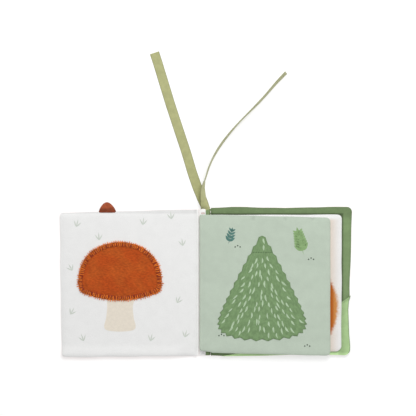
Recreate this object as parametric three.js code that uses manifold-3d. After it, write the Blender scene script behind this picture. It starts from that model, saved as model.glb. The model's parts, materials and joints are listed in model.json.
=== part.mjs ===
// A soft cloth activity book that lies open on its back.
// Two padded covers hang on a spine strip. One sewn spread, folded in half, makes two leaves.
// A lift-up flap, a slip pocket, a fleece patch, a tab and a pair of ribbon ties complete it.
// Units are millimetres, +X runs to the fore edge of the back cover, +Y to the head, +Z up.
// The origin lies under the middle of the spine, on the surface that the book rests on.

import * as THREE from 'three';
import { mergeVertices } from 'three/addons/utils/BufferGeometryUtils.js';
import Module from 'manifold-3d';

const wasm = await Module();
wasm.setup();

// Book
const bookHeight = 154;
const cloth = 0.5;
const layGap = 0.3;
const overrun = 2;

// Covers
const coverThickness = 3;
const coverRim = 2;
const coverCorner = 4;
const waddingClear = 0.3;
const frontReach = 152.4;
const frontLean = 2.1;
const frontSlip = 0.7;
const frontHeadDrop = 3.5;
const frontTailDrop = 1.2;
const backReach = 153.5;
const backLean = 2.3;
const backSlip = 0.5;
const backTailRise = 1;

// Spine strip
const spineCloth = 0.6;
const spineFilling = 0.4;
const spineGroove = 4.6;
const spineSeam = 0;
const seamEnd = 0.3;
const threadWidth = 1;
const threadHeight = 0.4;
const threadLift = 0.2;
const threadEnd = 3;

// Pocket on the back cover
const pocketCloth = 0.5;
const pocketStart = 22.5;
const pocketSideHeight = 62.5;
const pocketSwellX = 95;
const pocketSwellHeight = 12.5;
const pocketPoke = 0.8;
const hemWidth = 1.6;
const hemHeight = 0.2;
const pocketArcSteps = 16;

// Leaves
const leafThickness = 2;
const leafRim = 1.5;
const leafCorner = 5;
const leafHeight = 144.6;
const leafHeadMargin = 6.3;
const leaf1Reach = 130.9;
const leaf1HeadDrop = 2.9;
const leaf1TailDrop = 3.4;
const leaf2Reach = 142.1;
const leaf2TailRise = 0.6;
const foldReach = 6.6;
const foldEnd = 8.2;
const foldUnderside = 2.7;
const footWidth = 1.8;
const footStart = 0.8;
const filmThickness = 0.4;
const spreadThreadWidth = 1;
const spreadThreadHeight = 0.6;

// Flap, a big serrated leaf shape that is sewn on along one line near its tip
const flapCloth = 0.3;
const flapGap = 0.2;
const flapMiddle = 59.2;
const flapLength = 111.3;
const flapHalfWidth = 46;
const flapTipMargin = 20.2;
const flapHinge = 19.9;
const flapMarginSteps = 36;
const flapToothShare = 0.026;
const bladePeakShare = 0.8;
const bladeRisePower = 0.9;
const bladeRoundPower = 12;
const bladeHeartShare = 0.6;
const flapThreadLength = 20;
const flapThreadHeight = 0.15;

// Fleece patch, a mushroom cap
const capMiddle = 90;
const capWidth = 88;
const capDome = 50;
const capBelly = 9;
const capRimDrop = 8;
const capRimRound = 7;
const capShoulderShare = 0.75;
const capArcSteps = 12;
const fleeceThickness = 1.2;
const fleeceSeamHeight = 0.3;
const fleeceSeamWidth = 2.4;
const fleeceSeamInset = 4.2;

// Tab at the head of the front cover
const tabMiddle = 103.2;
const tabWidth = 17.5;
const tabHeight = 9.4;
const tabThickness = 0.8;
const tabArcSteps = 14;

// Ribbon ties
const ribbonWidth = 10;
const ribbonThickness = 0.5;
const ribbonMiddle = 0.7;
const rootThickness = 0.3;
const rootTucked = 7.5;
const rootOut = 8.4;

// Colours
const offWhite = 0xe9eae8;
const rust = 0xb24b19;
const rustDark = 0x8c3214;
const coverPink = 0xb57a62;
const darkGreen = 0x69915a;
const pocketGreen = 0x94be7e;
const sage = 0xbac6b8;
const flapGreen = 0x7a9b68;
const ribbonGreen = 0xaaae78;
const threadWhite = 0xf2f2ec;
const waddingWhite = 0xf4f4f0;

// Levels and lines that follow from the sizes above
const half = bookHeight / 2;
const spineThickness = 2 * spineCloth + spineFilling;
const hingeHeight = spineThickness / 2;
const hingeClear = hingeHeight + layGap;
const leaf2Level = coverThickness + pocketCloth + layGap;
const leaf2Top = leaf2Level + leafThickness;
const leaf1Level = leaf2Top + layGap;
const leaf1Top = leaf1Level + leafThickness;
const flapLevel = leaf1Top + flapGap;
const flapTop = flapLevel + 2 * flapCloth;
const fleeceHeight = fleeceThickness + fleeceSeamHeight;
const flapFoldedTop = flapTop + 2 * flapCloth;
const spineWidth = flapFoldedTop + layGap + fleeceHeight + coverThickness - spineThickness;
const leftGroove = spineGroove - spineWidth;
const backInner = spineGroove + hingeClear;
const pocketTail = backSlip - half;
const pocketForeEdge = backReach - backLean / 2 + pocketPoke;
const frontInner = leftGroove - hingeClear;
const leafHead = half - leafHeadMargin;
const leafTail = leafHead - leafHeight;
const leafInner = foldEnd + layGap;
const flapTip = leafHead - flapTipMargin;
const flapHingeY = flapTip - flapHinge;

// Corner lists run anticlockwise from the inner tail corner
function point(x, y) {
  return new THREE.Vector2(x, y);
}

const backCorners = [
  point(backInner, backSlip - half),
  point(backReach - backLean, backSlip - half + backTailRise),
  point(backReach, backSlip + half),
  point(backInner, backSlip + half),
];
const frontCorners = [
  point(frontInner, half - frontSlip),
  point(-frontReach, half - frontSlip - frontHeadDrop),
  point(frontLean - frontReach, -half - frontSlip - frontTailDrop),
  point(frontInner, -half - frontSlip),
];
const leaf1Corners = [
  point(leafInner, leafTail),
  point(leaf1Reach, leafTail - leaf1TailDrop),
  point(leaf1Reach, leafHead - leaf1HeadDrop),
  point(leafInner, leafHead),
];
const leaf2Corners = [
  point(leafInner, leafTail + leaf2TailRise),
  point(leaf2Reach, leafTail + leaf2TailRise),
  point(leaf2Reach, leafHead),
  point(leafInner, leafHead),
];

// Corners moved in by one distance, for rims, wadding and film
function inset(corners, distance) {
  const middle = corners.reduce((sum, corner) => sum.add(corner), point(0, 0))
    .divideScalar(corners.length);
  return corners.map((corner) => point(
    corner.x - Math.sign(corner.x - middle.x) * distance,
    corner.y - Math.sign(corner.y - middle.y) * distance,
  ));
}

// A straight-sided outline whose corners are rounded
function roundedOutline(corners, radius) {
  const outline = new THREE.Shape();
  corners.forEach((corner, index) => {
    const before = corners.at(index - 1);
    const after = corners[(index + 1) % corners.length];
    const entry = before.clone().sub(corner).setLength(radius).add(corner);
    const exit = after.clone().sub(corner).setLength(radius).add(corner);
    if (index === 0) outline.moveTo(entry.x, entry.y);
    else outline.lineTo(entry.x, entry.y);
    outline.quadraticCurveTo(corner.x, corner.y, exit.x, exit.y);
  });
  outline.closePath();
  return outline;
}

function rectangle(x0, y0, x1, y1) {
  return new THREE.Shape([point(x0, y0), point(x1, y0), point(x1, y1), point(x0, y1)]);
}

// Extruding and cutting
function slab(outline, thickness, arcSteps = 6) {
  return new THREE.ExtrudeGeometry(outline, {
    depth: thickness, bevelEnabled: false, curveSegments: arcSteps,
  });
}

function toSolid(geometry) {
  const bare = geometry.clone();
  bare.deleteAttribute('uv');
  bare.deleteAttribute('normal');
  const merged = mergeVertices(bare);
  return new wasm.Manifold(new wasm.Mesh({
    numProp: 3,
    vertProperties: new Float32Array(merged.attributes.position.array),
    triVerts: new Uint32Array(merged.index.array),
  }));
}

function toGeometry(solid) {
  const cut = solid.getMesh();
  const geometry = new THREE.BufferGeometry();
  geometry.setAttribute('position', new THREE.BufferAttribute(cut.vertProperties, 3));
  geometry.setIndex(new THREE.BufferAttribute(cut.triVerts, 1));
  geometry.computeVertexNormals();
  return geometry;
}

// A shallow cloth shell: a floor with a rim all round, open at the top or at the bottom
function shell(corners, radius, rim, floor, depth, opensUp) {
  const outer = toSolid(slab(roundedOutline(corners, radius), depth));
  const hollow = slab(roundedOutline(inset(corners, rim), radius), depth - floor + overrun);
  hollow.translate(0, 0, opensUp ? floor : -overrun);
  return toGeometry(outer.subtract(toSolid(hollow)));
}

function piece(name, geometry, colour, roughness, level = 0) {
  const finish = new THREE.MeshStandardMaterial({ color: colour, roughness, metalness: 0 });
  const mesh = new THREE.Mesh(geometry, finish);
  mesh.name = name;
  mesh.position.z = level;
  return mesh;
}

// A padded panel: outer shell below, inner shell above, wadding sealed between them
function paddedCover(name, corners, outerColour, liningColour) {
  const shellDepth = coverThickness / 2;
  const wadding = inset(corners, coverRim + waddingClear);
  const cover = new THREE.Group();
  cover.add(
    piece(`${name}_outer`, shell(corners, coverCorner, coverRim, cloth, shellDepth, true),
      outerColour, 0.9),
    piece(`${name}_wadding`,
      slab(roundedOutline(wadding, coverCorner), coverThickness - 2 * cloth),
      waddingWhite, 1, cloth),
    piece(`${name}_lining`, shell(corners, coverCorner, coverRim, cloth, shellDepth, false),
      liningColour, 0.9, shellDepth),
  );
  return cover;
}

// A leaf: back cloth below, front cloth above, crackling film sealed between them
function paddedLeaf(name, corners, level, frontColour, backColour) {
  const shellDepth = leafThickness / 2;
  const floor = shellDepth - filmThickness / 2;
  const film = inset(corners, leafRim + waddingClear);
  const leaf = new THREE.Group();
  leaf.add(
    piece(`${name}_back_fabric`, shell(corners, leafCorner, leafRim, floor, shellDepth, true),
      backColour, 0.9, level),
    piece(`${name}_crinkle_film`, slab(roundedOutline(film, leafCorner), filmThickness),
      threadWhite, 0.3, level + floor),
    piece(`${name}_front_fabric`, shell(corners, leafCorner, leafRim, floor, shellDepth, false),
      frontColour, 0.9, level + shellDepth),
  );
  return leaf;
}

// An outline in X and Z, drawn out along Y between two ends
function drawnAlongY(outline, tail, head) {
  const geometry = slab(outline, head - tail);
  geometry.rotateX(Math.PI / 2);
  geometry.translate(0, head, 0);
  return geometry;
}

function bar(x0, x1, tail, head, thickness) {
  return slab(rectangle(x0, tail, x1, head), thickness);
}

// The spine strip with its filling, its two-colour lining and the thread that holds the spread
function spineStrip() {
  const left = leftGroove + seamEnd;
  const right = spineGroove - seamEnd;
  const liningLevel = spineCloth + spineFilling;
  const strip = new THREE.Group();
  strip.add(
    piece('spine_outer', bar(left, right, -half, half, spineCloth), coverPink, 0.9),
    piece('spine_interfacing',
      bar(left, right, -half, half - rootTucked - layGap, spineFilling),
      waddingWhite, 1, spineCloth),
    piece('spine_lining_left', bar(left, spineSeam, -half, half, spineCloth),
      offWhite, 0.9, liningLevel),
    piece('spine_lining_right', bar(spineSeam, right, -half, half, spineCloth),
      darkGreen, 0.9, liningLevel),
    piece('spread_stitching',
      bar(-spreadThreadWidth / 2, spreadThreadWidth / 2, leafTail, leafHead, spreadThreadHeight),
      threadWhite, 0.7, spineThickness),
  );
  return strip;
}

// Thread rows that close the two grooves, each seated on the end of its cover
function grooveThread(name, coverEnd, towardSpine, tail, head) {
  const far = coverEnd + towardSpine * threadWidth;
  const row = bar(Math.min(coverEnd, far), Math.max(coverEnd, far), tail + threadEnd,
    head - threadEnd, threadHeight);
  return piece(name, row, threadWhite, 0.7, threadLift);
}

// The pocket climbs from the tail edge to the fore edge in one hollow sweep
function pocketMouth(outline, lowering) {
  outline.moveTo(pocketStart + 2 * lowering, pocketTail);
  outline.quadraticCurveTo(pocketSwellX + lowering, pocketTail + pocketSwellHeight - lowering,
    pocketForeEdge, pocketTail + pocketSideHeight - lowering);
}

function pocketPanel() {
  const outline = new THREE.Shape();
  const lowEdge = pocketTail + backTailRise;
  pocketMouth(outline, 0);
  outline.lineTo(pocketForeEdge, lowEdge + coverCorner);
  outline.quadraticCurveTo(pocketForeEdge, lowEdge, pocketForeEdge - coverCorner, lowEdge);
  outline.closePath();
  return slab(outline, pocketCloth, pocketArcSteps);
}

// The folded hem along the pocket's mouth
function pocketHem() {
  const outline = new THREE.Shape();
  pocketMouth(outline, hemWidth);
  outline.lineTo(pocketForeEdge, pocketTail + pocketSideHeight);
  outline.quadraticCurveTo(pocketSwellX, pocketTail + pocketSwellHeight, pocketStart, pocketTail);
  outline.closePath();
  return slab(outline, hemHeight, pocketArcSteps);
}

// The first leaf's fold swings out past the spine and comes back under itself to the seam
function leaf1FoldOutline() {
  const outerRadius = (leaf1Top - foldUnderside) / 2;
  const innerRadius = outerRadius - leafThickness;
  const turnX = outerRadius - foldReach;
  const turnZ = foldUnderside + outerRadius;
  const seam = -footStart;
  const outline = new THREE.Shape();
  outline.moveTo(foldEnd, leaf1Level);
  outline.lineTo(foldEnd, leaf1Top);
  outline.lineTo(turnX, leaf1Top);
  outline.absarc(turnX, turnZ, outerRadius, Math.PI / 2, 3 * Math.PI / 2, false);
  outline.lineTo(seam - footWidth, foldUnderside);
  outline.lineTo(seam - footWidth, spineThickness);
  outline.lineTo(seam, spineThickness);
  outline.lineTo(seam, turnZ - innerRadius);
  outline.lineTo(turnX, turnZ - innerRadius);
  outline.absarc(turnX, turnZ, innerRadius, 3 * Math.PI / 2, Math.PI / 2, true);
  outline.closePath();
  return outline;
}

// The second leaf's fold drops straight to the seam
function leaf2FoldOutline() {
  const turn = leafThickness / 2;
  const outline = new THREE.Shape();
  outline.moveTo(foldEnd, leaf2Level);
  outline.lineTo(foldEnd, leaf2Top);
  outline.lineTo(footStart + turn, leaf2Top);
  outline.quadraticCurveTo(footStart, leaf2Top, footStart, leaf2Top - turn);
  outline.lineTo(footStart, spineThickness);
  outline.lineTo(footStart + footWidth, spineThickness);
  outline.lineTo(footStart + footWidth, leaf2Level);
  outline.closePath();
  return outline;
}

// The flap's blade: narrow at the tip, widest near the stalk end, with a serrated margin
function bladeHalfWidth(share) {
  const scale = flapHalfWidth / bladePeakShare;
  return scale * share ** bladeRisePower * Math.sqrt(1 - share ** bladeRoundPower);
}

function bladeOutline() {
  const heart = point(flapMiddle, flapTip - flapLength * bladeHeartShare);
  const side = (direction, step) => {
    const share = Math.sin((step / flapMarginSteps) * Math.PI / 2);
    const edge = point(flapMiddle + direction * bladeHalfWidth(share),
      flapTip - flapLength * share);
    const tooth = step % 2 === 0 ? -flapToothShare : flapToothShare;
    return edge.sub(heart).multiplyScalar(1 + tooth).add(heart);
  };
  const points = [];
  for (let step = 0; step < flapMarginSteps; step += 1) points.push(side(-1, step));
  for (let step = flapMarginSteps; step > 0; step -= 1) points.push(side(1, step));
  return new THREE.Shape(points);
}

// The blade is cut along its sewing line into the sewn tip and the part that lifts
function cutBlade(thickness, keepTip) {
  const reach = flapLength + overrun;
  const cutLine = keepTip ? flapHingeY : flapHingeY - layGap;
  const low = keepTip ? cutLine - reach : cutLine;
  const cutter = bar(flapMiddle - reach, flapMiddle + reach, low, low + reach,
    thickness + 2 * overrun);
  cutter.translate(0, 0, -overrun);
  return toGeometry(toSolid(slab(bladeOutline(), thickness)).subtract(toSolid(cutter)));
}

// The fleece cap: a dome over a gently bellied underside, with rounded rims
function capOutline(insetBy) {
  const rim = capWidth / 2 - insetBy;
  const dome = capDome - insetBy;
  const belly = capBelly - insetBy / 2;
  const round = capRimRound - insetBy / 2;
  const outline = new THREE.Shape();
  outline.moveTo(round - rim, -belly / 2);
  outline.quadraticCurveTo(0, -2 * belly, rim - round, -belly / 2);
  outline.quadraticCurveTo(rim, -belly / 4, rim, round);
  outline.bezierCurveTo(rim, dome * capShoulderShare, rim / 2, dome, 0, dome);
  outline.bezierCurveTo(-rim / 2, dome, -rim, dome * capShoulderShare, -rim, round);
  outline.quadraticCurveTo(-rim, -belly / 4, round - rim, -belly / 2);
  return outline;
}

function fleeceCap() {
  return slab(capOutline(0), fleeceThickness, capArcSteps);
}

function fleeceRing() {
  const ring = capOutline(fleeceSeamInset);
  ring.holes.push(capOutline(fleeceSeamInset + fleeceSeamWidth));
  return slab(ring, fleeceSeamHeight, capArcSteps);
}

// The tab is a half oval that starts just off the cover's head edge
const headEdgeAtTab = half - frontSlip
  - frontHeadDrop * (tabMiddle - tabWidth / 2 + frontInner) / (frontReach + frontInner);
const tabBase = headEdgeAtTab + layGap;

function domeTab() {
  const outline = new THREE.Shape();
  outline.absellipse(0, 0, tabWidth / 2, tabHeight, 0, Math.PI, false);
  outline.closePath();
  return slab(outline, tabThickness, tabArcSteps);
}

// Ribbon tails: the left one lies flat, the right one stands on its edge. Their routes start
// at the outer end of the ribbon's root.
const leftTailRoute = [
  [-3.5, 0.7], [-5.4, 6], [-7.6, 11.3], [-9.6, 16.6], [-11.4, 21.8], [-13.2, 27],
  [-14.9, 32.3], [-18, 42.8], [-21.2, 53.3], [-23.8, 61.2], [-26.4, 69], [-29, 76.9],
  [-31.6, 84.8], [-34.2, 92.7], [-36.8, 100.6], [-40, 111.1], [-43.2, 121.6], [-46.4, 132.1],
  [-49.6, 142.6], [-52.6, 152], [-53.8, 155.6],
];
const rightTailRoute = [
  [2.6, 0.7], [1.4, 4.8], [0.1, 9.2], [-0.8, 13.8], [-1.2, 18.7], [-0.6, 23.8], [1, 29.5],
  [3.4, 35.6], [6.3, 41.8], [9.8, 48.5], [13.9, 55.5], [18.5, 62.2], [23.6, 68.9], [29.2, 75.5],
  [35.2, 82.1], [41.6, 88.7], [48.3, 95.4], [55, 102.3], [61.7, 109.5], [68.1, 116.7],
  [74.3, 123.7], [79.7, 129.4], [84.8, 134.7],
];

function ribbonTail(route, width, height) {
  const line = new THREE.CatmullRomCurve3(route.map(([x, y]) => new THREE.Vector3(x, y, 0)));
  const steps = route.length - 1;
  const left = [];
  const right = [];
  for (let step = 0; step <= steps; step += 1) {
    const at = line.getPoint(step / steps);
    const along = line.getTangent(step / steps);
    const aside = point(-along.y, along.x).multiplyScalar(width / 2);
    left.push(point(at.x + aside.x, at.y + aside.y));
    right.push(point(at.x - aside.x, at.y - aside.y));
  }
  return slab(new THREE.Shape([...right, ...left.reverse()]), height);
}

function ribbonRoot() {
  const left = -ribbonMiddle - ribbonWidth / 2;
  return bar(left, left + ribbonWidth, half - rootTucked, half + rootOut, rootThickness);
}

function backCoverBody() {
  const body = new THREE.Group();
  body.add(
    paddedCover('back_cover', backCorners, coverPink, darkGreen),
    piece('hill_pocket', pocketPanel(), pocketGreen, 0.9, coverThickness),
    piece('pocket_hem', pocketHem(), pocketGreen, 0.9, coverThickness + pocketCloth),
    grooveThread('spine_stitching_right', backInner, -1, backSlip - half, backSlip + half),
    piece('leaf_1_fold', drawnAlongY(leaf1FoldOutline(), leafTail, leafHead), sage, 0.9),
    piece('leaf_2_fold', drawnAlongY(leaf2FoldOutline(), leafTail, leafHead), offWhite, 0.9),
  );
  return body;
}

function frontCoverBody() {
  const cap = piece('fleece_patch', fleeceCap(), rust, 1, coverThickness);
  const ring = piece('fleece_stitching', fleeceRing(), rustDark, 0.9,
    coverThickness + fleeceThickness);
  [cap, ring].forEach((mesh) => mesh.position.set(-capMiddle, -capRimDrop, mesh.position.z));
  const body = new THREE.Group();
  body.add(
    paddedCover('front_cover', frontCorners, coverPink, offWhite),
    grooveThread('spine_stitching_left', frontInner, 1, -half - frontSlip, half - frontSlip),
    cap,
    ring,
  );
  return body;
}

function tabBody() {
  const tab = piece('rust_tab', domeTab(), rust, 0.9);
  tab.position.set(-tabMiddle, tabBase, (coverThickness - tabThickness) / 2);
  return tab;
}

function leaf1Body() {
  const tip = piece('flap_sewn_tip', cutBlade(2 * flapCloth, true), flapGreen, 0.9, leaf1Top);
  const thread = piece('flap_stitching',
    bar(flapMiddle - flapThreadLength / 2, flapMiddle + flapThreadLength / 2,
      flapHingeY + layGap, flapHingeY + layGap + threadWidth, flapThreadHeight),
    threadWhite, 0.7, leaf1Top + 2 * flapCloth);
  const body = new THREE.Group();
  body.add(paddedLeaf('leaf_1', leaf1Corners, leaf1Level, sage, offWhite), tip, thread);
  return body;
}

function flapBody() {
  const body = new THREE.Group();
  body.add(
    piece('flap_back', cutBlade(flapCloth, false), offWhite, 0.9, flapLevel),
    piece('flap_front', cutBlade(flapCloth, false), flapGreen, 0.9, flapLevel + flapCloth),
  );
  return body;
}

function tiesBody() {
  const left = piece('ribbon_left_tail',
    ribbonTail(leftTailRoute, ribbonWidth, ribbonThickness), ribbonGreen, 0.7);
  const right = piece('ribbon_right_tail',
    ribbonTail(rightTailRoute, ribbonThickness, ribbonWidth), ribbonGreen, 0.7);
  [left, right].forEach((tail) => tail.position.set(0, half + rootOut, 0));
  const body = new THREE.Group();
  body.add(left, right);
  return body;
}

const book = new THREE.Group();
const spine = spineStrip();
spine.add(piece('ribbon_root', ribbonRoot(), ribbonGreen, 0.7,
  spineCloth + (spineFilling - rootThickness) / 2));
book.add(
  backCoverBody(),
  spine,
  frontCoverBody(),
  tabBody(),
  leaf1Body(),
  flapBody(),
  paddedLeaf('leaf_2', leaf2Corners, leaf2Level, offWhite, offWhite),
  tiesBody(),
);

export default book;
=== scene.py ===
import json
import math
import random

import bmesh
import bpy
import numpy as np
from bpy.props import FloatProperty, FloatVectorProperty, PointerProperty
from mathutils import Vector, geometry, noise
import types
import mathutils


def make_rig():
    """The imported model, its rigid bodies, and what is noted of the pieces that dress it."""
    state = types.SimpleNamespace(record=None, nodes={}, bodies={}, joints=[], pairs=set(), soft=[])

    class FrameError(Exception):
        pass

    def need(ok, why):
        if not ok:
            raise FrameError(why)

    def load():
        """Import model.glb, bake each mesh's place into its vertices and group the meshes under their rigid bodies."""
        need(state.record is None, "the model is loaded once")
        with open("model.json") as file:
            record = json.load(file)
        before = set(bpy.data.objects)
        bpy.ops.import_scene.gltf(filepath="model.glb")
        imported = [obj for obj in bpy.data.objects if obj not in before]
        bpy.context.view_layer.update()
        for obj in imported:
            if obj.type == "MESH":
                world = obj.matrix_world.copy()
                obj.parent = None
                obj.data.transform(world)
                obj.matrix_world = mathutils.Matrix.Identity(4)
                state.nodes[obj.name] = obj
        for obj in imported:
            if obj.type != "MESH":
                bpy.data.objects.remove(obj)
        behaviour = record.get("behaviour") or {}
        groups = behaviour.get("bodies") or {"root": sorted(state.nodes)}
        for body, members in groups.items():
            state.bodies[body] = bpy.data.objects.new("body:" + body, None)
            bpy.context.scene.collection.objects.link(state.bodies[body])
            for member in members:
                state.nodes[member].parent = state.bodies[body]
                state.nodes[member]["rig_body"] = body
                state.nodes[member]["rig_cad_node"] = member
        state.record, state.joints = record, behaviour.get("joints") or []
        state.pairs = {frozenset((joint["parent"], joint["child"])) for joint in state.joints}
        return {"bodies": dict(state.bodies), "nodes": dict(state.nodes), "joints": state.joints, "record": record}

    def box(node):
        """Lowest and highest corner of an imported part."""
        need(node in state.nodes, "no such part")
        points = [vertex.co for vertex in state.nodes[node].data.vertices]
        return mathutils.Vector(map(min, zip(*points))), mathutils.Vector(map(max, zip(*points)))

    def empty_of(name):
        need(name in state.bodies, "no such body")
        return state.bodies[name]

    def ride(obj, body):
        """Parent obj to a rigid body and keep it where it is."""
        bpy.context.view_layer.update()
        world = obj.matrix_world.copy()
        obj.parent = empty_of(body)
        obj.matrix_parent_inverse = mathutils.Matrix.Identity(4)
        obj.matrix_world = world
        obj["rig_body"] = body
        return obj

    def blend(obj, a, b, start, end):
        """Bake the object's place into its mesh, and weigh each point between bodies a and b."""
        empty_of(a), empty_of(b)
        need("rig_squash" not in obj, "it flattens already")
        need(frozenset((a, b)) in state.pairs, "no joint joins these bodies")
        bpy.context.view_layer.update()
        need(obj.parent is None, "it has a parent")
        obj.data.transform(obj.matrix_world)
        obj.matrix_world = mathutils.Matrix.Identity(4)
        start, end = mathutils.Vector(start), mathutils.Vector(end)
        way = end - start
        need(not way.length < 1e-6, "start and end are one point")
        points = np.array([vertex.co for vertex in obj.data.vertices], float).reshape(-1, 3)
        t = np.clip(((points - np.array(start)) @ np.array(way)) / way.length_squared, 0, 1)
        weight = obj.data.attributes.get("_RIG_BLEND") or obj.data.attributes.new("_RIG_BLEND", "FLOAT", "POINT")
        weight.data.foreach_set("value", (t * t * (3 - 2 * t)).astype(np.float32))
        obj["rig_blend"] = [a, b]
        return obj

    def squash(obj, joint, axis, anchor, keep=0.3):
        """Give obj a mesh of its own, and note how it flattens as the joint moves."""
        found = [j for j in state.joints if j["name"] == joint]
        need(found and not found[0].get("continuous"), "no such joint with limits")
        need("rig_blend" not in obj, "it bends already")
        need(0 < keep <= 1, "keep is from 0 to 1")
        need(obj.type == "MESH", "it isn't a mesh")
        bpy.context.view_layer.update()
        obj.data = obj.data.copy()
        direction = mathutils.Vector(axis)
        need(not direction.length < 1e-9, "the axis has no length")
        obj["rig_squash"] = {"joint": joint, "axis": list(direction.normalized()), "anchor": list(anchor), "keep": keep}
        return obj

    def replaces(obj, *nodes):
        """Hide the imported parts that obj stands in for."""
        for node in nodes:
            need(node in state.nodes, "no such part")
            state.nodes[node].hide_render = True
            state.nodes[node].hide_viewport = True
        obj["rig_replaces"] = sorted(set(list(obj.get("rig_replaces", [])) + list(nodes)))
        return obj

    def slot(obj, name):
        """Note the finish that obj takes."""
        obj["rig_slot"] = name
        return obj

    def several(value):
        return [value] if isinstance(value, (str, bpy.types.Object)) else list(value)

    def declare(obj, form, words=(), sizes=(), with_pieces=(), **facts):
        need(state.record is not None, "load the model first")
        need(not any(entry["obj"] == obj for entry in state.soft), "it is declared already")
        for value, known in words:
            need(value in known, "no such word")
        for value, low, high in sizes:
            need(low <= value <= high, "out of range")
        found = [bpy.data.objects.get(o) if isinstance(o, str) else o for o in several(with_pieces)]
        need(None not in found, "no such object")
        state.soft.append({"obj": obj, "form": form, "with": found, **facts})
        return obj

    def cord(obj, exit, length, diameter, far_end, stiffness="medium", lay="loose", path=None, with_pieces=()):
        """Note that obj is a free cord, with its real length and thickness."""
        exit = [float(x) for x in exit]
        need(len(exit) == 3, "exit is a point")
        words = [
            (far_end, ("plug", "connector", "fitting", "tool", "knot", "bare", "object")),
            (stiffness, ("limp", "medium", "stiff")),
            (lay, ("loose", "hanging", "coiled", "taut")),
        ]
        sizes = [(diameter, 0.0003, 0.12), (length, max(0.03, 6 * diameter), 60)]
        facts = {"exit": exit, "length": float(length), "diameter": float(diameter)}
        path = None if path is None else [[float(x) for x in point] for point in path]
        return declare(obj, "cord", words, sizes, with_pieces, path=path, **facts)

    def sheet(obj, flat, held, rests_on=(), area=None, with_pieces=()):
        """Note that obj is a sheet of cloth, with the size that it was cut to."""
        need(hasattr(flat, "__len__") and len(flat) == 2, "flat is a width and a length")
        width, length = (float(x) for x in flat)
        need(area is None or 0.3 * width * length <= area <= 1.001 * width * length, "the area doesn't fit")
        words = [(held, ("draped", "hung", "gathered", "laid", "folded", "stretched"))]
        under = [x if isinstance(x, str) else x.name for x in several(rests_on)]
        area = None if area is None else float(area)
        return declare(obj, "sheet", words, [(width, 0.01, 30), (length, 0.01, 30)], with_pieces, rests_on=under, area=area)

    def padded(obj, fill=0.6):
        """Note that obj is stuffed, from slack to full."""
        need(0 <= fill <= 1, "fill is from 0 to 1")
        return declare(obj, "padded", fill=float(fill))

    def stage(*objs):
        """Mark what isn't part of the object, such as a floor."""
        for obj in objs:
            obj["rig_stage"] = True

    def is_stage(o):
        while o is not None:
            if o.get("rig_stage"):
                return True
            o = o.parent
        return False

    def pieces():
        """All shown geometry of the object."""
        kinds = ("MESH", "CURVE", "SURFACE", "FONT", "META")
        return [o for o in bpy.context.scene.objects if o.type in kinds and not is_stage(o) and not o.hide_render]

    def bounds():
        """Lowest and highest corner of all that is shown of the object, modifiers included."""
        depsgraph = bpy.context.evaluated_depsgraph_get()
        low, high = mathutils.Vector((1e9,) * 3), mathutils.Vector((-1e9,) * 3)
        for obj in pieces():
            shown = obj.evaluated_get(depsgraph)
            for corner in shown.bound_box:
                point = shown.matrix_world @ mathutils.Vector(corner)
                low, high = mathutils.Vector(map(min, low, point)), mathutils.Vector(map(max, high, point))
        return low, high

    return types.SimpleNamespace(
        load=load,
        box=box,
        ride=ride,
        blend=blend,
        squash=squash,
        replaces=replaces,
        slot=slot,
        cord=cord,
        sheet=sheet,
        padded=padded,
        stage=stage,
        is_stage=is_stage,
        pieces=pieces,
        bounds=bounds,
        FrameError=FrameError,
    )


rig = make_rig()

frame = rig.load()
cad_low, cad_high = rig.bounds()

bl_info = {
    "name": "Cloth activity book",
    "version": (1, 0, 0),
    "blender": (4, 5, 0),
    "location": "View3D > Sidebar > Cloth book",
    "description": "Sews the covers, leaves, flap, pocket, fleece and ribbon ties of a soft cloth book",
    "category": "Add Mesh",
}

MM = 0.001
BOOK_NODES = frame["nodes"]


def tint(red, green, blue):
    """Linear colour of a screen colour given from 0 to 255."""
    def linear(value):
        value /= 255
        return value / 12.92 if value <= 0.04045 else ((value + 0.055) / 1.055) ** 2.4
    return (linear(red), linear(green), linear(blue))


def colour(name, about, *screen):
    return FloatVectorProperty(name=name, description=about, default=tint(*screen),
                               subtype="COLOR", min=0, max=1)


def length(name, about, millimetres):
    return FloatProperty(name=name, description=about, default=millimetres * MM,
                         min=0, subtype="DISTANCE", unit="LENGTH", precision=5)


class BookSizes(bpy.types.PropertyGroup):
    """Sizes of the sewing that the CAD frame doesn't hold"""
    seam_pinch: length("Seam pinch", "How far in from its seam a cover reaches its full height", 2.2)
    leaf_pinch: length("Leaf pinch", "How far in from its seam a leaf reaches its full height", 1.6)
    edge_wander: length("Edge wander", "How far a sewn edge wanders from its straight line", 0.35)
    pucker: length("Pucker", "Height of the small puckers beside a seam", 0.28)
    stitch_length: length("Stitch length", "Length of one sewn stitch", 2.5)
    stitch_pitch: length("Stitch pitch", "Distance from one stitch to the next", 3.1)
    thread_width: length("Thread width", "Width of the sewing thread", 0.7)
    weave_pitch: length("Weave pitch", "Distance between two threads of the cotton", 0.42)
    rib_pitch: length("Rib pitch", "Distance between two cross ribs of the ribbon", 0.7)
    ribbon_width: length("Ribbon width", "Width of the ribbon ties", 10.0)
    ribbon_thickness: length("Ribbon thickness", "Thickness of the ribbon ties", 0.45)
    pile_height: length("Pile height", "How far the nap of the fleece stands up", 0.35)
    tuft_length: length("Tuft length", "Length of the tufts round the fleece patch", 4.6)
    tuft_pitch: length("Tuft pitch", "Spacing of the tufts round the fleece patch", 2.3)
    stroke_rows: length("Stroke rows", "Spacing of the rows of pale strokes on the flap", 6.6)


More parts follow.
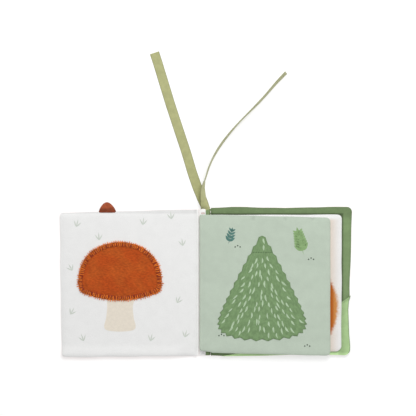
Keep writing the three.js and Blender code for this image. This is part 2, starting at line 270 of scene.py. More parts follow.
class BookColours(bpy.types.PropertyGroup):
    """Colours of the cloths, threads and prints"""
    cover: colour("Cover cloth", "Outer cloth of the covers", 206, 160, 146)
    page: colour("White page", "Off-white inner cloth", 239, 239, 238)
    spine_white: colour("Spine white", "White half of the spine's inner cloth", 252, 252, 251)
    groove_white: colour("Groove white", "White cloth of the left groove", 243, 243, 242)
    lining: colour("Green lining", "Inner cloth of the back cover", 128, 152, 107)
    pocket: colour("Pocket", "Light green cloth of the slip pocket", 173, 204, 147)
    sage: colour("Sage leaf", "Pale sage cloth of the first leaf", 191, 204, 188)
    flap: colour("Flap", "Green cloth of the lift-up flap", 124, 153, 108)
    fleece: colour("Fleece", "Rust fleece of the patch", 180, 75, 22)
    worn_fleece: colour("Worn fleece", "Rubbed places of the fleece", 186, 90, 31)
    fleece_tuft: colour("Fleece tufts", "Lit tips of the pile round the patch", 246, 132, 40)
    tab: colour("Tab", "Rust cotton of the small tab", 160, 80, 50)
    ribbon: colour("Ribbon", "Olive ribbon of the ties", 181, 182, 131)
    white_thread: colour("White thread", "Thread of the spine's seams", 240, 238, 230)
    rust_thread: colour("Rust thread", "Thread of the fleece's zigzag", 150, 40, 10)
    green_thread: colour("Green thread", "Thread of the flap's seam", 84, 112, 74)
    cream_ink: colour("Cream ink", "Print below the fleece patch", 233, 224, 209)
    grey_ink: colour("Grey ink", "Small sprigs on the left page", 208, 214, 205)
    pale_ink: colour("Pale ink", "Strokes on the flap", 179, 202, 169)
    orange_ink: colour("Orange ink", "Print on the second leaf", 180, 94, 26)
    thin_orange: colour("Thin orange", "The same print toward its rim", 206, 140, 76)
    warm_paper: colour("Warm paper", "White cloth beside the same print", 222, 206, 190)
    teal_ink: colour("Teal ink", "Small leaf on the sage page", 88, 128, 120)
    leaf_ink: colour("Leaf ink", "Second small leaf on the sage page", 140, 172, 118)
    dark_ink: colour("Dark ink", "Dots on the sage page", 70, 82, 70)


def sizes():
    return bpy.context.scene.book_sizes


def shades():
    return bpy.context.scene.book_colours


# Shader nodes

class Dye:
    """One procedural material, built from numbers and the sockets of its own nodes."""

    def __init__(self, name, base, roughness, sheen):
        self.material = bpy.data.materials.new(name)
        self.material.use_nodes = True
        self.tree = self.material.node_tree
        self.shader = self.tree.nodes["Principled BSDF"]
        for label, value in (("Roughness", roughness), ("Specular IOR Level", 0.2),
                             ("Sheen Weight", sheen), ("Sheen Roughness", 0.5)):
            self.shader.inputs[label].default_value = value
        self.base = (*base, 1)

    def add(self, kind, *values, out=0, **settings):
        """One output of a new node; None leaves an input as it is."""
        node = self.tree.nodes.new("ShaderNode" + kind)
        for key, value in settings.items():
            setattr(node, key, value)
        for socket, value in zip(node.inputs, values):
            self.feed(socket, value)
        return node.outputs[out]

    def feed(self, socket, value):
        if isinstance(value, bpy.types.NodeSocket):
            self.tree.links.new(value, socket)
        elif value is not None:
            socket.default_value = value

    def calc(self, operation, *values):
        return self.add("Math", *values, operation=operation)

    def times(self, first, *others):
        """All the values multiplied together."""
        for other in others:
            first = self.calc("MULTIPLY", first, other)
        return first

    def wave(self, value, pitch):
        """A sine from -1 to 1 that repeats at every pitch."""
        return self.calc("SINE", self.calc("MULTIPLY", value, 2 * math.pi / pitch))

    def flat(self):
        """The piece's own flat pattern, in millimetres."""
        pattern = self.add("UVMap", uv_map="flat")
        return self.add("VectorMath", pattern, None, None, 1 / MM, operation="SCALE")

    def axes(self, where):
        """The first two directions of a pattern, each as a value."""
        return self.add("SeparateXYZ", where).node.outputs[:2]

    def seam_distance(self):
        """Distance from the nearest sewn edge, in millimetres."""
        pattern = self.add("UVMap", uv_map="seam")
        return self.calc("DIVIDE", self.axes(pattern)[0], MM)

    def brushed(self, where, stretch, turn):
        """The same pattern turned, and stretched along one direction."""
        return self.add("Mapping", where, None, (0, 0, turn), (1 / stretch, 1, 1))

    def noise(self, where, wavelength, detail=2.0):
        return self.add("TexNoise", where, None, 1 / wavelength, detail, 0.55)

    def fade(self, value, start, end, low=0.0, high=1.0):
        return self.add("MapRange", value, start, end, low, high, interpolation_type="SMOOTHSTEP")

    def mix(self, share, first, second):
        """From the first paint at share 0 to the second at share 1."""
        node = self.tree.nodes.new("ShaderNodeMix")
        node.data_type = "RGBA"
        self.feed(node.inputs[0], share)
        self.feed(node.inputs[6], first)
        self.feed(node.inputs[7], second)
        return node.outputs[2]

    def shade(self, paint, brightness):
        """The paint made lighter or darker by a brightness round 1."""
        return self.add("HueSaturation", 0.5, 1.0, brightness, 1.0, paint)

    def weave(self, where, pitch):
        """Height from 0 to 1 of a plain weave."""
        across, up = (self.wave(axis, pitch) for axis in self.axes(where))
        return self.calc("MULTIPLY_ADD", self.times(across, up), 0.5, 0.5)

    def finish(self, paint, height, depth):
        """The finished material; its relief is depth millimetres high."""
        self.feed(self.shader.inputs["Base Color"], paint)
        strength = 0.6
        bump = self.add("Bump", strength, depth * MM)
        self.tree.links.new(height, bump.node.inputs["Height"])
        self.tree.links.new(bump, self.shader.inputs["Normal"])
        return self.material


def cotton(name, base, mottle=0.05, edge_shade=0.86, edge_width=2.0, blotch=9.0, dye=None):
    """Woven cotton: plain weave, slight mottling, darker beside its seams."""
    cloth = Dye(name, base, roughness=0.9, sheen=0.12)
    where = cloth.flat()
    fleck = cloth.noise(where, 0.9)
    height = cloth.weave(where, sizes().weave_pitch / MM)
    light = cloth.times(cloth.fade(cloth.noise(where, blotch, 3.0), 0.3, 0.7, 1 - mottle, 1 + mottle),
                        cloth.fade(fleck, 0.25, 0.75, 0.97, 1.03),
                        cloth.fade(height, 0.0, 1.0, 0.96, 1.02),
                        cloth.fade(cloth.seam_distance(), 0.0, edge_width, edge_shade, 1.0))
    paint = cloth.shade(cloth.base if dye is None else dye(cloth, where), light)
    relief = cloth.calc("MULTIPLY_ADD", fleck, 0.5, height)
    return cloth.finish(paint, relief, depth=0.1)


def thread(name, base):
    """Twisted sewing thread."""
    yarn = Dye(name, base, roughness=0.7, sheen=0.2)
    twist = yarn.wave(yarn.calc("ADD", *yarn.axes(yarn.flat())), pitch=0.55)
    light = yarn.fade(twist, -1.0, 1.0, 0.88, 1.06)
    return yarn.finish(yarn.shade(yarn.base, light), twist, depth=0.08)


def nap(name, base, rim=1.0):
    """Short-pile fleece: felted blotches, worn places and a fine nap that lies one way."""
    pile = Dye(name, base, roughness=0.95, sheen=0.15)
    where = pile.flat()
    tuft = pile.noise(pile.brushed(where, 2.2, -0.3), 1.3, 3.0)
    light = pile.times(pile.fade(pile.noise(where, 16.0), 0.35, 0.65, 0.93, 1.05),
                       pile.fade(tuft, 0.3, 0.7, 0.8, 1.16),
                       pile.fade(pile.seam_distance(), 3.6, 5.4, rim, 1.0))
    worn = pile.fade(pile.noise(where, 19.0, 1.0), 0.36, 0.64, 0.0, 0.55)
    rubbed = pile.mix(worn, pile.base, (*shades().worn_fleece, 1))
    return pile.finish(pile.shade(rubbed, light), tuft, depth=0.5)


def grosgrain(name, base):
    """Ribbon with cross ribs; its flat pattern runs across, then along the ribbon."""
    tape = Dye(name, base, roughness=0.75, sheen=0.25)
    where = tape.flat()
    ribs = tape.wave(tape.axes(where)[1], sizes().rib_pitch / MM)
    light = tape.times(tape.fade(tape.noise(where, 6.0, 3.0), 0.3, 0.7, 0.94, 1.06),
                       tape.fade(ribs, -1.0, 1.0, 0.92, 1.05),
                       tape.fade(tape.seam_distance(), 0.0, 0.9, 0.62, 1.0))
    return tape.finish(tape.shade(tape.base, light), ribs, depth=0.12)


def ink(name, base, mottle=0.1):
    """Pigment printed into the cotton, so the weave shows through it."""
    paste = Dye(name, base, roughness=0.85, sheen=0.1)
    where = paste.flat()
    height = paste.weave(where, sizes().weave_pitch / MM)
    light = paste.times(paste.fade(paste.noise(where, 3.0, 3.0), 0.3, 0.7, 1 - mottle, 1 + mottle),
                        paste.fade(height, 0.0, 1.0, 0.95, 1.03))
    return paste.finish(paste.shade(paste.base, light), height, depth=0.1)


# Outlines, in millimetres in plan

def node_outline(node):
    """Anticlockwise plan outline of the top face of a CAD node."""
    body = bmesh.new()
    body.from_mesh(BOOK_NODES[node].data)
    bmesh.ops.remove_doubles(body, verts=body.verts, dist=1e-6)
    top = max(vert.co.z for vert in body.verts) - 2e-5
    faces = {f for f in body.faces if f.normal.z > 0.9 and all(v.co.z > top for v in f.verts)}
    beside = {}
    for edge in body.edges:
        if sum(face in faces for face in edge.link_faces) == 1:
            first, second = edge.verts
            beside.setdefault(first, []).append(second)
            beside.setdefault(second, []).append(first)
    start = min(beside, key=lambda vert: (vert.co.x, vert.co.y))
    loop, last, here = [start], None, start
    while True:
        ahead = [vert for vert in beside[here] if vert is not last]
        last, here = here, ahead[0]
        if here is start:
            break
        loop.append(here)
    outline = np.array([(vert.co.x, vert.co.y) for vert in loop]) / MM
    body.free()
    return outline if area_of(outline) > 0 else outline[::-1]


def area_of(outline):
    """Area inside a closed outline, positive if it runs anticlockwise."""
    x, y = outline.T
    return 0.5 * np.sum(x * np.roll(y, -1) - np.roll(x, -1) * y)


def spaced(outline, step, sharp=35.0):
    """The same closed outline with points about a step apart, its sharp corners kept."""
    ahead = np.roll(outline, -1, 0) - outline
    behind = outline - np.roll(outline, 1, 0)
    headings = [np.arctan2(way[:, 1], way[:, 0]) for way in (ahead, behind)]
    turn = np.degrees(np.abs(headings[0] - headings[1]))
    turn = np.minimum(turn, 360 - turn)
    corners = [i for i in range(len(outline)) if turn[i] > sharp] or [0]
    points = []
    for first, second in zip(corners, corners[1:] + [corners[0] + len(outline)]):
        stretch = np.array([outline[i % len(outline)] for i in range(first, second + 1)])
        points.extend(along(stretch, step)[:-1])
    return np.array(points)


def squared(outline, near_left, reach_in):
    """The outline with its two corners on the left or the right side made square."""
    away = outline[:, 0] if near_left else -outline[:, 0]
    gone = outline[away <= away.min() + reach_in]
    rest = outline[away > away.min() + reach_in]
    edge = outline[np.argmin(away), 0]
    whole = np.vstack([rest, [(edge, gone[:, 1].min()), (edge, gone[:, 1].max())]])
    heart = whole.mean(0)
    return whole[np.argsort(np.arctan2(whole[:, 1] - heart[1], whole[:, 0] - heart[0]))]


def run_of(path):
    """How far along an open path each of its points lies."""
    return np.concatenate([[0], np.cumsum(np.linalg.norm(np.diff(path, axis=0), axis=1))])


def ways_of(path):
    """The direction of an open path at each of its points."""
    ahead = np.gradient(path, axis=0)
    return ahead / np.linalg.norm(ahead, axis=1)[:, None]


def along(path, step):
    """Points about a step apart on an open path, both ends kept."""
    path = np.asarray(path, float)
    run = run_of(path)
    count = max(1, round(run[-1] / step))
    marks = np.linspace(0, run[-1], count + 1)
    return np.stack([np.interp(marks, run, path[:, k]) for k in range(path.shape[1])], 1)


def smooth_path(points, step):
    """A rounded curve through the points, with points about a step apart."""
    points = np.asarray(points, float)
    ends = np.vstack([2 * points[0] - points[1], points, 2 * points[-1] - points[-2]])
    dense = []
    for a, b, c, d in zip(ends, ends[1:], ends[2:], ends[3:]):
        for t in np.linspace(0, 1, 8, endpoint=False):
            dense.append(0.5 * (2 * b + (c - a) * t + (2 * a - 5 * b + 4 * c - d) * t * t
                                + (3 * b - a - 3 * c + d) * t ** 3))
    dense.append(points[-1])
    return along(dense, step)


def normals_of(outline):
    """Inward normals of an anticlockwise outline."""
    run = np.roll(outline, -1, 0) - np.roll(outline, 1, 0)
    run /= np.linalg.norm(run, axis=1)[:, None] + 1e-12
    return np.stack([-run[:, 1], run[:, 0]], 1)


def reach(points, first, second):
    """Distance of each point from the nearest of the segments from first to second."""
    best = np.full(len(points), 1e9)
    for a, b in zip(first, second):
        side = b - a
        share = np.clip((points - a) @ side / (side @ side + 1e-12), 0, 1)
        best = np.minimum(best, np.hypot(*(points - a - share[:, None] * side).T))
    return best


def inside(points, outline):
    """Whether each point lies inside the closed outline."""
    x, y = points.T
    odd = np.zeros(len(points), bool)
    for (ax, ay), (bx, by) in zip(outline, np.roll(outline, -1, 0)):
        if ay == by:
            continue
        crosses = (ay > y) != (by > y)
        odd ^= crosses & (x < (bx - ax) * (y - ay) / (by - ay) + ax)
    return odd


def rolling(x, y, wavelength, seed):
    """Smooth random height from about -1 to 1 at each point."""
    return np.array([noise.noise(Vector((a / wavelength, b / wavelength, seed * 7.31)))
                     for a, b in zip(x, y)]) * 1.6


def wandering(outline, amount, wavelength, seed, keep=None):
    """The outline with its edge moved in and out a little; points where keep holds stay."""
    push = rolling(*outline.T, wavelength, seed) * amount
    if keep is not None:
        push[keep(*outline.T)] = 0
    return outline + normals_of(outline) * push[:, None]


# How far the back cover's edges lie outside their straight lines: place, push
HEAD_SLACK = ((6, 27, 44, 60, 84, 110, 150), (0.5, 1.5, 1.5, 0.8, 0.3, 1.3, 1.4))
TAIL_SLACK = ((6, 24, 60, 90, 130, 150), (0.9, 1.4, 1.1, 0.4, 0.6, 1.4))
FORE_SLACK = ((-76, -66, -55, -29, -20, -14.6, -8, 34, 60, 76),
              (-1.6, -1.3, -2.4, -3.3, -2.6, -0.9, -1.0, -0.2, 0.1, 0.4))


def slack(points):
    """Points near the back cover's edges moved with the edges' slow bends."""
    x, y = points.T
    fore = np.clip((x - 125) / 20, 0, 1) * np.interp(y, *FORE_SLACK)
    head = np.clip((y - 60) / 12, 0, 1) * np.interp(x, *HEAD_SLACK)
    tail = np.clip((-y - 60) / 12, 0, 1) * np.interp(x, *TAIL_SLACK)
    return np.column_stack([x + fore, y + head - tail])


def rounder(points, end, radius):
    """The outline with its fore corner at the tail (end -1) or the head (end 1) rounded further."""
    x, y = points[:, 0], points[:, 1] * end
    highest = y[x > 130].max()
    corner = np.array([x[y > highest - 12].max(), highest])
    offset = np.column_stack([x, y]) - (corner - radius)
    length = np.maximum(np.linalg.norm(offset, axis=1), 1e-6)
    beyond = (offset > 0).all(1) & (length > radius)
    offset[beyond] *= (radius / length[beyond])[:, None]
    return (offset + corner - radius) * (1, end)


# Meshes

def piece(name, points, faces, finishes, flat=None, seam=None, picks=None, crease=50):
    """A mesh object from points in millimetres; flat and seam become its two patterns."""
    mesh = bpy.data.meshes.new(name)
    points = np.asarray(points, float)
    mesh.from_pydata((points * MM).tolist(), [], faces)
    for finish in finishes:
        mesh.materials.append(finish)
    if picks is not None:
        mesh.polygons.foreach_set("material_index", np.asarray(picks, np.int32))
    corner = np.empty(len(mesh.loops), np.int32)
    mesh.loops.foreach_get("vertex_index", corner)
    flat = points[:, :2] if flat is None else np.asarray(flat, float)
    seam = np.full(len(points), 20.0) if seam is None else np.asarray(seam, float)
    seam = np.stack([seam, points[:, 2]], 1)
    for label, pattern in (("flat", flat), ("seam", seam)):
        layer = mesh.uv_layers.new(name=label)
        layer.data.foreach_set("uv", (pattern[corner] * MM).astype(np.float32).ravel())
    mesh.update()
    tidy = bmesh.new()
    tidy.from_mesh(mesh)
    bmesh.ops.recalc_face_normals(tidy, faces=tidy.faces)
    tidy.to_mesh(mesh)
    tidy.free()
    mesh.shade_smooth()
    if crease:
        mesh.set_sharp_from_angle(angle=math.radians(crease))
    thing = bpy.data.objects.new(name, mesh)
    bpy.context.scene.collection.objects.link(thing)
    return thing


def panel_plan(outline, rings, step):
    """Plan points of a panel: its outline, rings inside it and a grid in the middle."""
    ahead = np.roll(outline, -1, 0)
    inward = normals_of(outline)
    rows = [outline]
    for ring in rings:
        row = outline + inward * ring
        gap = reach(row, outline, ahead)
        rows.append(row[(gap > ring * 0.93) & inside(row, outline)])
    low, high = outline.min(0), outline.max(0)
    grid = np.stack(np.meshgrid(np.arange(low[0] + step / 2, high[0], step),
                                np.arange(low[1] + step / 2, high[1], step)), -1).reshape(-1, 2)
    grid = grid[inside(grid, outline)]
    grid = grid[reach(grid, outline, ahead) > rings[-1] + step * 0.5]
    return np.vstack(rows + [grid])


def panel(name, outline, over, under, finishes, pick, rings, step=2.5, open_side=None, crease=50):
    """A closed cloth panel: over and under give its heights at x, y and distance from the seam."""
    ahead = np.roll(outline, -1, 0)
    sewn = np.ones(len(outline), bool)
    if open_side is not None:
        sewn = ~(open_side(*outline.T) & open_side(*ahead.T))
    points = panel_plan(outline, rings, step)
    count, total = len(outline), len(points)
    border = [(i, (i + 1) % count) for i in range(count)]
    result = geometry.delaunay_2d_cdt([Vector(p) for p in points], border, [], 1, 1e-6)
    origin = [ids[0] for ids in result[3]]
    triangles = np.array([[origin[v] for v in face] for face in result[2]])
    seam = reach(points, outline[sewn], ahead[sewn])
    verts = np.vstack([np.column_stack([points, surface(*points.T, seam)]) for surface in (over, under)])
    faces = triangles.tolist() + (triangles[:, ::-1] + total).tolist()
    faces += [(i, i + total, j + total, j) for i, j in border]
    middle, depth = points[triangles].mean(1), seam[triangles].mean(1)
    edge = (outline + ahead) / 2
    picks = np.concatenate([pick(*middle.T, depth, True), pick(*middle.T, depth, False),
                            pick(*edge.T, np.zeros(count), False)])
    return piece(name, verts, faces, finishes, np.vstack([points, points]),
                 np.concatenate([seam, seam]), picks, crease)


def hem_cloths(near_spine):
    """Inner cloth on top and on the spine's side, outer cloth below and round the other edges."""
    def pick(x, y, depth, upper):
        return np.where(upper | near_spine(x, y), 0, 1).astype(np.int32)
    return pick


def one_cloth(x, y, depth, upper):
    return np.zeros(len(x), np.int32)


def two_cloths(x, y, depth, upper):
    return np.full(len(x), 0 if upper else 1, np.int32)


def tube_faces(rows, columns, start=0):
    """Quads round a tube whose points are numbered from start, ring after ring."""
    faces = []
    for row in range(start, start + (rows - 1) * columns, columns):
        for column in range(columns):
            beside = (column + 1) % columns
            faces.append((row + column, row + beside, row + columns + beside, row + columns + column))
    return faces


def band_parts(sections):
    """Points and faces of a closed tube through equal closed sections."""
    sections = np.asarray(sections, float)
    rows, columns = sections.shape[:2]
    faces = tube_faces(rows, columns)
    for start in (0, (rows - 1) * columns):
        for column in range(columns // 2 - 1):
            faces.append((start + column, start + column + 1,
                          start + columns - 2 - column, start + columns - 1 - column))
    return sections.reshape(-1, 3), faces


def band_picks(rows, columns, lined):
    """Inner cloth on the first faces round a tube, outer cloth on the others and on both ends."""
    around = [0 if column < lined else 1 for column in range(columns)]
    return around * (rows - 1) + [1] * (2 * (columns // 2 - 1))


def band(name, sections, finishes, flat=None, seam=None, picks=None, crease=50):
    """A closed tube through equal closed sections, each a list of points in millimetres."""
    return piece(name, *band_parts(sections), finishes, flat, seam, picks, crease)


def attach(thing, body, slot, *nodes):
    """The piece moves with its body, takes its material slot and stands for the CAD nodes given."""
    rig.ride(thing, body)
    if nodes:
        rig.replaces(thing, *nodes)
    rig.slot(thing, slot)


def cut_to(cloth, outline, below):
    """A sheet that lies on the piece below and was cut flat to its outline."""
    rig.sheet(cloth, flat=tuple((outline.max(0) - outline.min(0)) * MM), held="laid", rests_on=[below],
             area=area_of(outline) * MM * MM)


def stitches(name, centres, headings, finish, longs, wide, high):
    """Separate rounded stitches, each along its own heading; longs may be one length for all."""
    verts, faces, flat = [], [], []
    marks, around = 5, 6
    longs = longs if isinstance(longs, list) else [longs] * len(centres)
    for centre, heading, long in zip(centres, headings, longs):
        ahead = Vector((*heading[:2], 0)).normalized()
        side = Vector((-ahead.y, ahead.x, 0))
        base = len(verts)
        for mark in range(marks):
            t = -1 + 2 * (mark + 0.5) / marks
            slim = math.sqrt(1 - t ** 4)
            for turn in range(around):
                angle = 2 * math.pi * turn / around
                spot = (Vector(centre) + ahead * (t * long / 2)
                        + side * (math.cos(angle) * wide / 2 * slim)
                        + Vector((0, 0, math.sin(angle) * high / 2 * slim)))
                verts.append(tuple(spot))
                flat.append((t * long / 2 + centre[0], angle * wide / 4 + centre[1]))
        for end in (-1, 1):
            verts.append(tuple(Vector(centre) + ahead * (end * long / 2)))
            flat.append((end * long / 2, 0))
        faces += tube_faces(marks, around, base)
        last, first_end = base + (marks - 1) * around, base + marks * around
        for turn in range(around):
            beside = (turn + 1) % around
            faces.append((first_end, base + beside, base + turn))
            faces.append((first_end + 1, last + turn, last + beside))
    return piece(name, verts, faces, [finish], flat, crease=0)


def prints(name, shapes, height, finish, lift=0.07, sink=0.1):
    """Thin printed patches: each shape is a closed outline that lies on the given height."""
    verts, faces = [], []
    for outline in shapes:
        outline = np.asarray(outline, float)
        if area_of(outline) < 0:
            outline = outline[::-1]
        heart = outline.mean(0)
        rows = [outline, heart + (outline - heart) * 0.55, heart[None, :]]
        plan = np.vstack(rows)
        count, base = len(outline), len(verts)
        z = height(*plan.T)
        for level in (z + lift, z - sink):
            verts.extend(np.column_stack([plan, level]).tolist())
        size = len(plan)
        for upper, start in ((True, base), (False, base + size)):
            for i in range(count):
                j = (i + 1) % count
                ring = [(start + i, start + j, start + count + j, start + count + i),
                        (start + count + i, start + count + j, start + 2 * count)]
                faces.extend(ring if upper else [face[::-1] for face in ring])
        for i in range(count):
            j = (i + 1) % count
            faces.append((base + i, base + size + i, base + size + j, base + j))
    return piece(name, verts, faces, [finish])


def surface(height, distance):
    """A panel's height by x and y alone, as at the given distance from its seams."""
    return lambda x, y: height(x, y, np.full(len(x), distance))


def blade(x, y, long, wide, angle, bow=0.0, points=14):
    """Outline of a small pointed leaf that grows from x, y at an angle in degrees."""
    turn = math.radians(angle)
    share = np.linspace(0, 1, points // 2 + 1)
    side = np.sin(np.pi * share ** 0.8) * wide / 2
    run = np.concatenate([share, share[-2:0:-1]]) * long
    across = np.concatenate([side, -side[-2:0:-1]]) + bow * run / long * (4 - 4 * run / long)
    return np.column_stack([x + run * math.cos(turn) - across * math.sin(turn),
                            y + run * math.sin(turn) + across * math.cos(turn)])


def frond(x, y, tall, wide, angle):
    """A sprig of paired leaves on a stem that grows from x, y at an angle in degrees."""
    turn = math.radians(angle)
    ahead = np.array([math.cos(turn), math.sin(turn)])
    shapes = [blade(x, y, tall, 0.9, angle),
              blade(*(ahead * tall * 0.72 + (x, y)), tall * 0.34, wide * 0.3, angle)]
    pairs = max(3, round(tall / 4))
    for pair in range(pairs):
        share = 0.18 + 0.62 * pair / (pairs - 1)
        reach_out = wide * (1.05 - 0.5 * share)
        for side in (-1, 1):
            shapes.append(blade(*(ahead * tall * share + (x, y)), reach_out, reach_out * 0.42,
                                angle + side * 46))
    return shapes


def dot(x, y, radius, points=12):
    turn = np.linspace(0, 2 * math.pi, points, endpoint=False)
    return np.column_stack([x + radius * np.cos(turn), y + radius * np.sin(turn)])


def settled(near, far, soon, distance):
    """A height that leaves near at the seam and settles to far within about the length soon."""
    return far + (near - far) * np.exp(-distance / soon)


def settling(near, far, soon):
    """A panel's surface that settles so from its seam inward."""
    return lambda x, y, distance: settled(near, far, soon, distance)


def level_at(height):
    """A panel's surface that is level."""
    return lambda x, y, distance: np.full(len(x), height)


# Heights of the cloth surfaces, in millimetres above the table, and places on them

COVER_SEAM, COVER_TOP = 1.2, 3.0
LEAF_1_MIDDLE, LEAF_2_MIDDLE, LEAF_HALF = 7.1, 4.8, 1.0
PAGE_START, PAGE_FREE = 6.4, 14.0
FLAP_HINGE_Y, FLAP_MIDDLE_X = 30.6, 59.2
# Where along its head seam leaf 1 is gathered
HEAD_PUCKERS = (49.8, 83.4, 111.7)
# Each panel has its own seed for its random rolls
FRONT_SEED, BACK_SEED, LEAF_1_SEED, LEAF_2_SEED = 1, 11, 21, 31


def puckers(x, y, distance, seed):
    """Small gathers that run in from a seam and fade out."""
    return rolling(x, y, 5.5, seed) * np.exp(-distance / 3.5) * (1 - np.exp(-distance / 0.8))


def cover_over(seed):
    """Upper surface of a padded cover, with shallow dips and gathers beside its seam."""
    def height(x, y, distance):
        dips = 0.14 * (rolling(x, y, 48, seed) - 0.6) + 0.05 * rolling(x, y, 16, seed + 1)
        seam = COVER_SEAM + 0.1
        if seed == FRONT_SEED:
            # Beside the groove the front cover keeps most of its height
            seam = seam + 1.4 * np.clip((x + 14) / 4, 0, 1)
        top = settled(seam, COVER_TOP, sizes().seam_pinch / MM, distance)
        gather = sizes().pucker / MM * puckers(x, y, distance, seed + 2)
        return top + tail_lift(x, y) + (dips + gather) * (1 - np.exp(-distance / 1.5))
    return height


def cover_under(x, y, distance):
    return settled(COVER_SEAM - 0.1, 0.0, 1.1, distance) + tail_lift(x, y)


def tail_lift(x, y):
    """How far the tail edge of the front cover curls up off the table."""
    highest = 2.2
    share = np.clip((-65 - y) / 13, 0, 1)
    return highest * share * share * (3 - 2 * share) * np.clip((-12 - x) / 25, 0, 1)


def leaf_over(middle, seed):
    """Upper surface of a leaf whose middle layer lies at the height given."""
    def height(x, y, distance):
        rolls = 0.11 * rolling(x, y, 42, seed) + 0.05 * rolling(x, y, 14, seed + 1)
        rolls *= np.clip((x - PAGE_START) / 12, 0, 1)
        top = settled(middle + 0.1, middle + LEAF_HALF, sizes().leaf_pinch / MM, distance)
        for across in HEAD_PUCKERS if seed == LEAF_1_SEED else ():
            top = top - 0.9 * np.exp(-((x - across) / 1.7) ** 2 - ((y - 66.8) / 2.4) ** 2)
        gather = sizes().pucker / MM * puckers(x, y, distance, seed + 2)
        return top + (rolls + gather) * (1 - np.exp(-distance / 1.5))
    return height


def leaf_under(middle, seed):
    def height(x, y, distance):
        bottom = settled(middle - 0.1, middle - LEAF_HALF + 0.08, sizes().leaf_pinch / MM, distance)
        return bottom + 0.06 * rolling(x, y, 30, seed) * (1 - np.exp(-distance / 1.5))
    return height


def spine_over(x, y, distance):
    """The spine strip's lining, low along its middle seam and puffed up beside the ribbon."""
    middle_seam = 0.3 * np.exp(-(x / 0.9) ** 2)
    puff_at_ribbon = 1.3 * np.exp(-((x + 2.3) / 1.8) ** 4 - ((y - 74.4) / 2.4) ** 4)
    bulge_at_left = 0.6 * np.exp(-((x + 4.6) / 2.2) ** 4)
    return (settled(0.9, 1.6, 2.4, distance) - middle_seam + puff_at_ribbon + bulge_at_left
            + 0.05 * rolling(x, y, 9, 5))


def fleece_over(x, y, distance):
    """The fleece's pile, pressed down in a channel along its stitching."""
    body = settled(3.1, 3.9, 0.9, distance)
    pile = sizes().pile_height / MM * (0.7 * rolling(x, y, 1.4, 72) + 0.5 * rolling(x, y, 4.5, 73))
    channel = 0.35 * np.exp(-((distance - 5.3) / 1.3) ** 4)
    return body + pile * (1 - np.exp(-distance / 0.8)) - channel


def tab_over(x, y, distance):
    return settled(1.5, 2.25, 1.1, distance) + 0.05 * rolling(x, y, 4, 81)


def flap_over(x, y, distance):
    """The flap's upper cloth, with a faint vein; it lies lowest along its sewing line."""
    vein = 0.08 * np.exp(-((x - FLAP_MIDDLE_X) / 1.2) ** 2)
    base = settled(8.45, 8.7, 0.9, distance) + 0.06 * rolling(x, y, 15, 61)
    return base + 0.15 * (1 - np.exp(np.minimum(y - FLAP_HINGE_Y, 0) / 3)) + vein * (
        1 - np.exp(-distance / 2))


left_page = surface(cover_over(FRONT_SEED), 12.0)
sage_page = surface(leaf_over(LEAF_1_MIDDLE, LEAF_1_SEED), 12.0)
flap_surface = surface(flap_over, 10.0)


# Ribbon routes in plan from the outer end of the ribbon's root, as in the CAD solids
ROOT_END = 85.4
LEFT_ROUTE = (
    (-3.5, 0.7), (-5.4, 6), (-7.6, 11.3), (-9.6, 16.6), (-11.4, 21.8), (-13.2, 27),
    (-14.9, 32.3), (-18, 42.8), (-21.2, 53.3), (-23.8, 61.2), (-26.4, 69), (-29, 76.9),
    (-31.6, 84.8), (-34.2, 92.7), (-36.8, 100.6), (-40, 111.1), (-43.2, 121.6),
    (-46.4, 132.1), (-49.6, 142.6), (-52.6, 152), (-53.8, 155.6))
# The right tail leans back over the left one near the root: its middle line and its lean
# from upright, in degrees, at each point
RIGHT_ROUTE = (
    (-2.1, 0.7, 40), (-2.4, 3.4, 36), (-2.7, 6.1, 33), (-2.9, 8.7, 30), (-3.0, 11.3, 27),
    (-2.8, 14, 22), (-2.2, 16.6, 17), (-1.6, 19.2, 11), (-0.8, 21.8, 6.5), (0.1, 24.5, 6.5),
    (1.0, 27.1, 7), (2.6, 32.3, 8), (4.6, 37.5, 8), (6.9, 42.8, 8), (9.8, 48.5, 10),
    (13.6, 55.0, 12), (18.3, 62.0, 12), (23.6, 68.9, 11), (29.2, 75.5, 9), (35.2, 82.1, 7),
    (41.6, 88.7, 7), (48.3, 95.4, 9), (55, 102.3, 12), (61.7, 109.5, 12), (68.1, 116.7, 13),
    (74.3, 123.7, 15), (79.7, 129.4, 17), (84.6, 134.5, 18))
# The ribbon's root from the head seam outwards: height in plan, left and right edge of the
# layer that becomes the left tail, then of the layer that becomes the right tail
ROOT_ROWS = (
    (69.5, -5.2, 4.3, -5.2, 4.3), (74.0, -5.2, 4.3, -5.2, 4.3), (77.2, -5.0, 4.4, -5.0, 4.5),
    (78.9, -5.2, 4.2, -5.0, 4.4), (80.2, -6.0, 3.8, -5.2, 3.5), (82.0, -6.8, 3.2, -5.4, 2.6),
    (84.1, -7.8, 2.6, -5.4, 2.0), (86.2, -8.7, 1.8, -5.3, 1.2))


def ribbon_layer(lefts, rights, run):
    """One ribbon between two edge lines: its sections, flat pattern and seam distance."""
    thick = sizes().ribbon_thickness / MM
    shares = np.linspace(-1, 1, 9)
    sections, flat, seam = [], [], []
    ahead = np.gradient((lefts + rights) / 2, axis=0)
    for index, (left, right) in enumerate(zip(lefts, rights)):
        middle, across = (left + right) / 2, (right - left) / 2
        out = np.cross(across, ahead[index])
        out /= np.linalg.norm(out)
        wave = 0.1 * math.sin(run[index] / 9)
        depth = thick / 2 * (1 - 0.5 * shares ** 8)
        bow = wave * shares ** 2
        line = middle + shares[:, None] * across
        section = np.vstack([line + out * (depth + bow)[:, None],
                             (line - out * (depth - bow)[:, None])[::-1]])
        section[:, 2] = np.maximum(section[:, 2], 0.02)
        sections.append(section)
        half = np.linalg.norm(across)
        flat.extend([(s * half, run[index]) for s in (*shares, *shares[::-1])])
        seam.extend([half - abs(s) * half for s in (*shares, *shares[::-1])])
    return sections, flat, seam


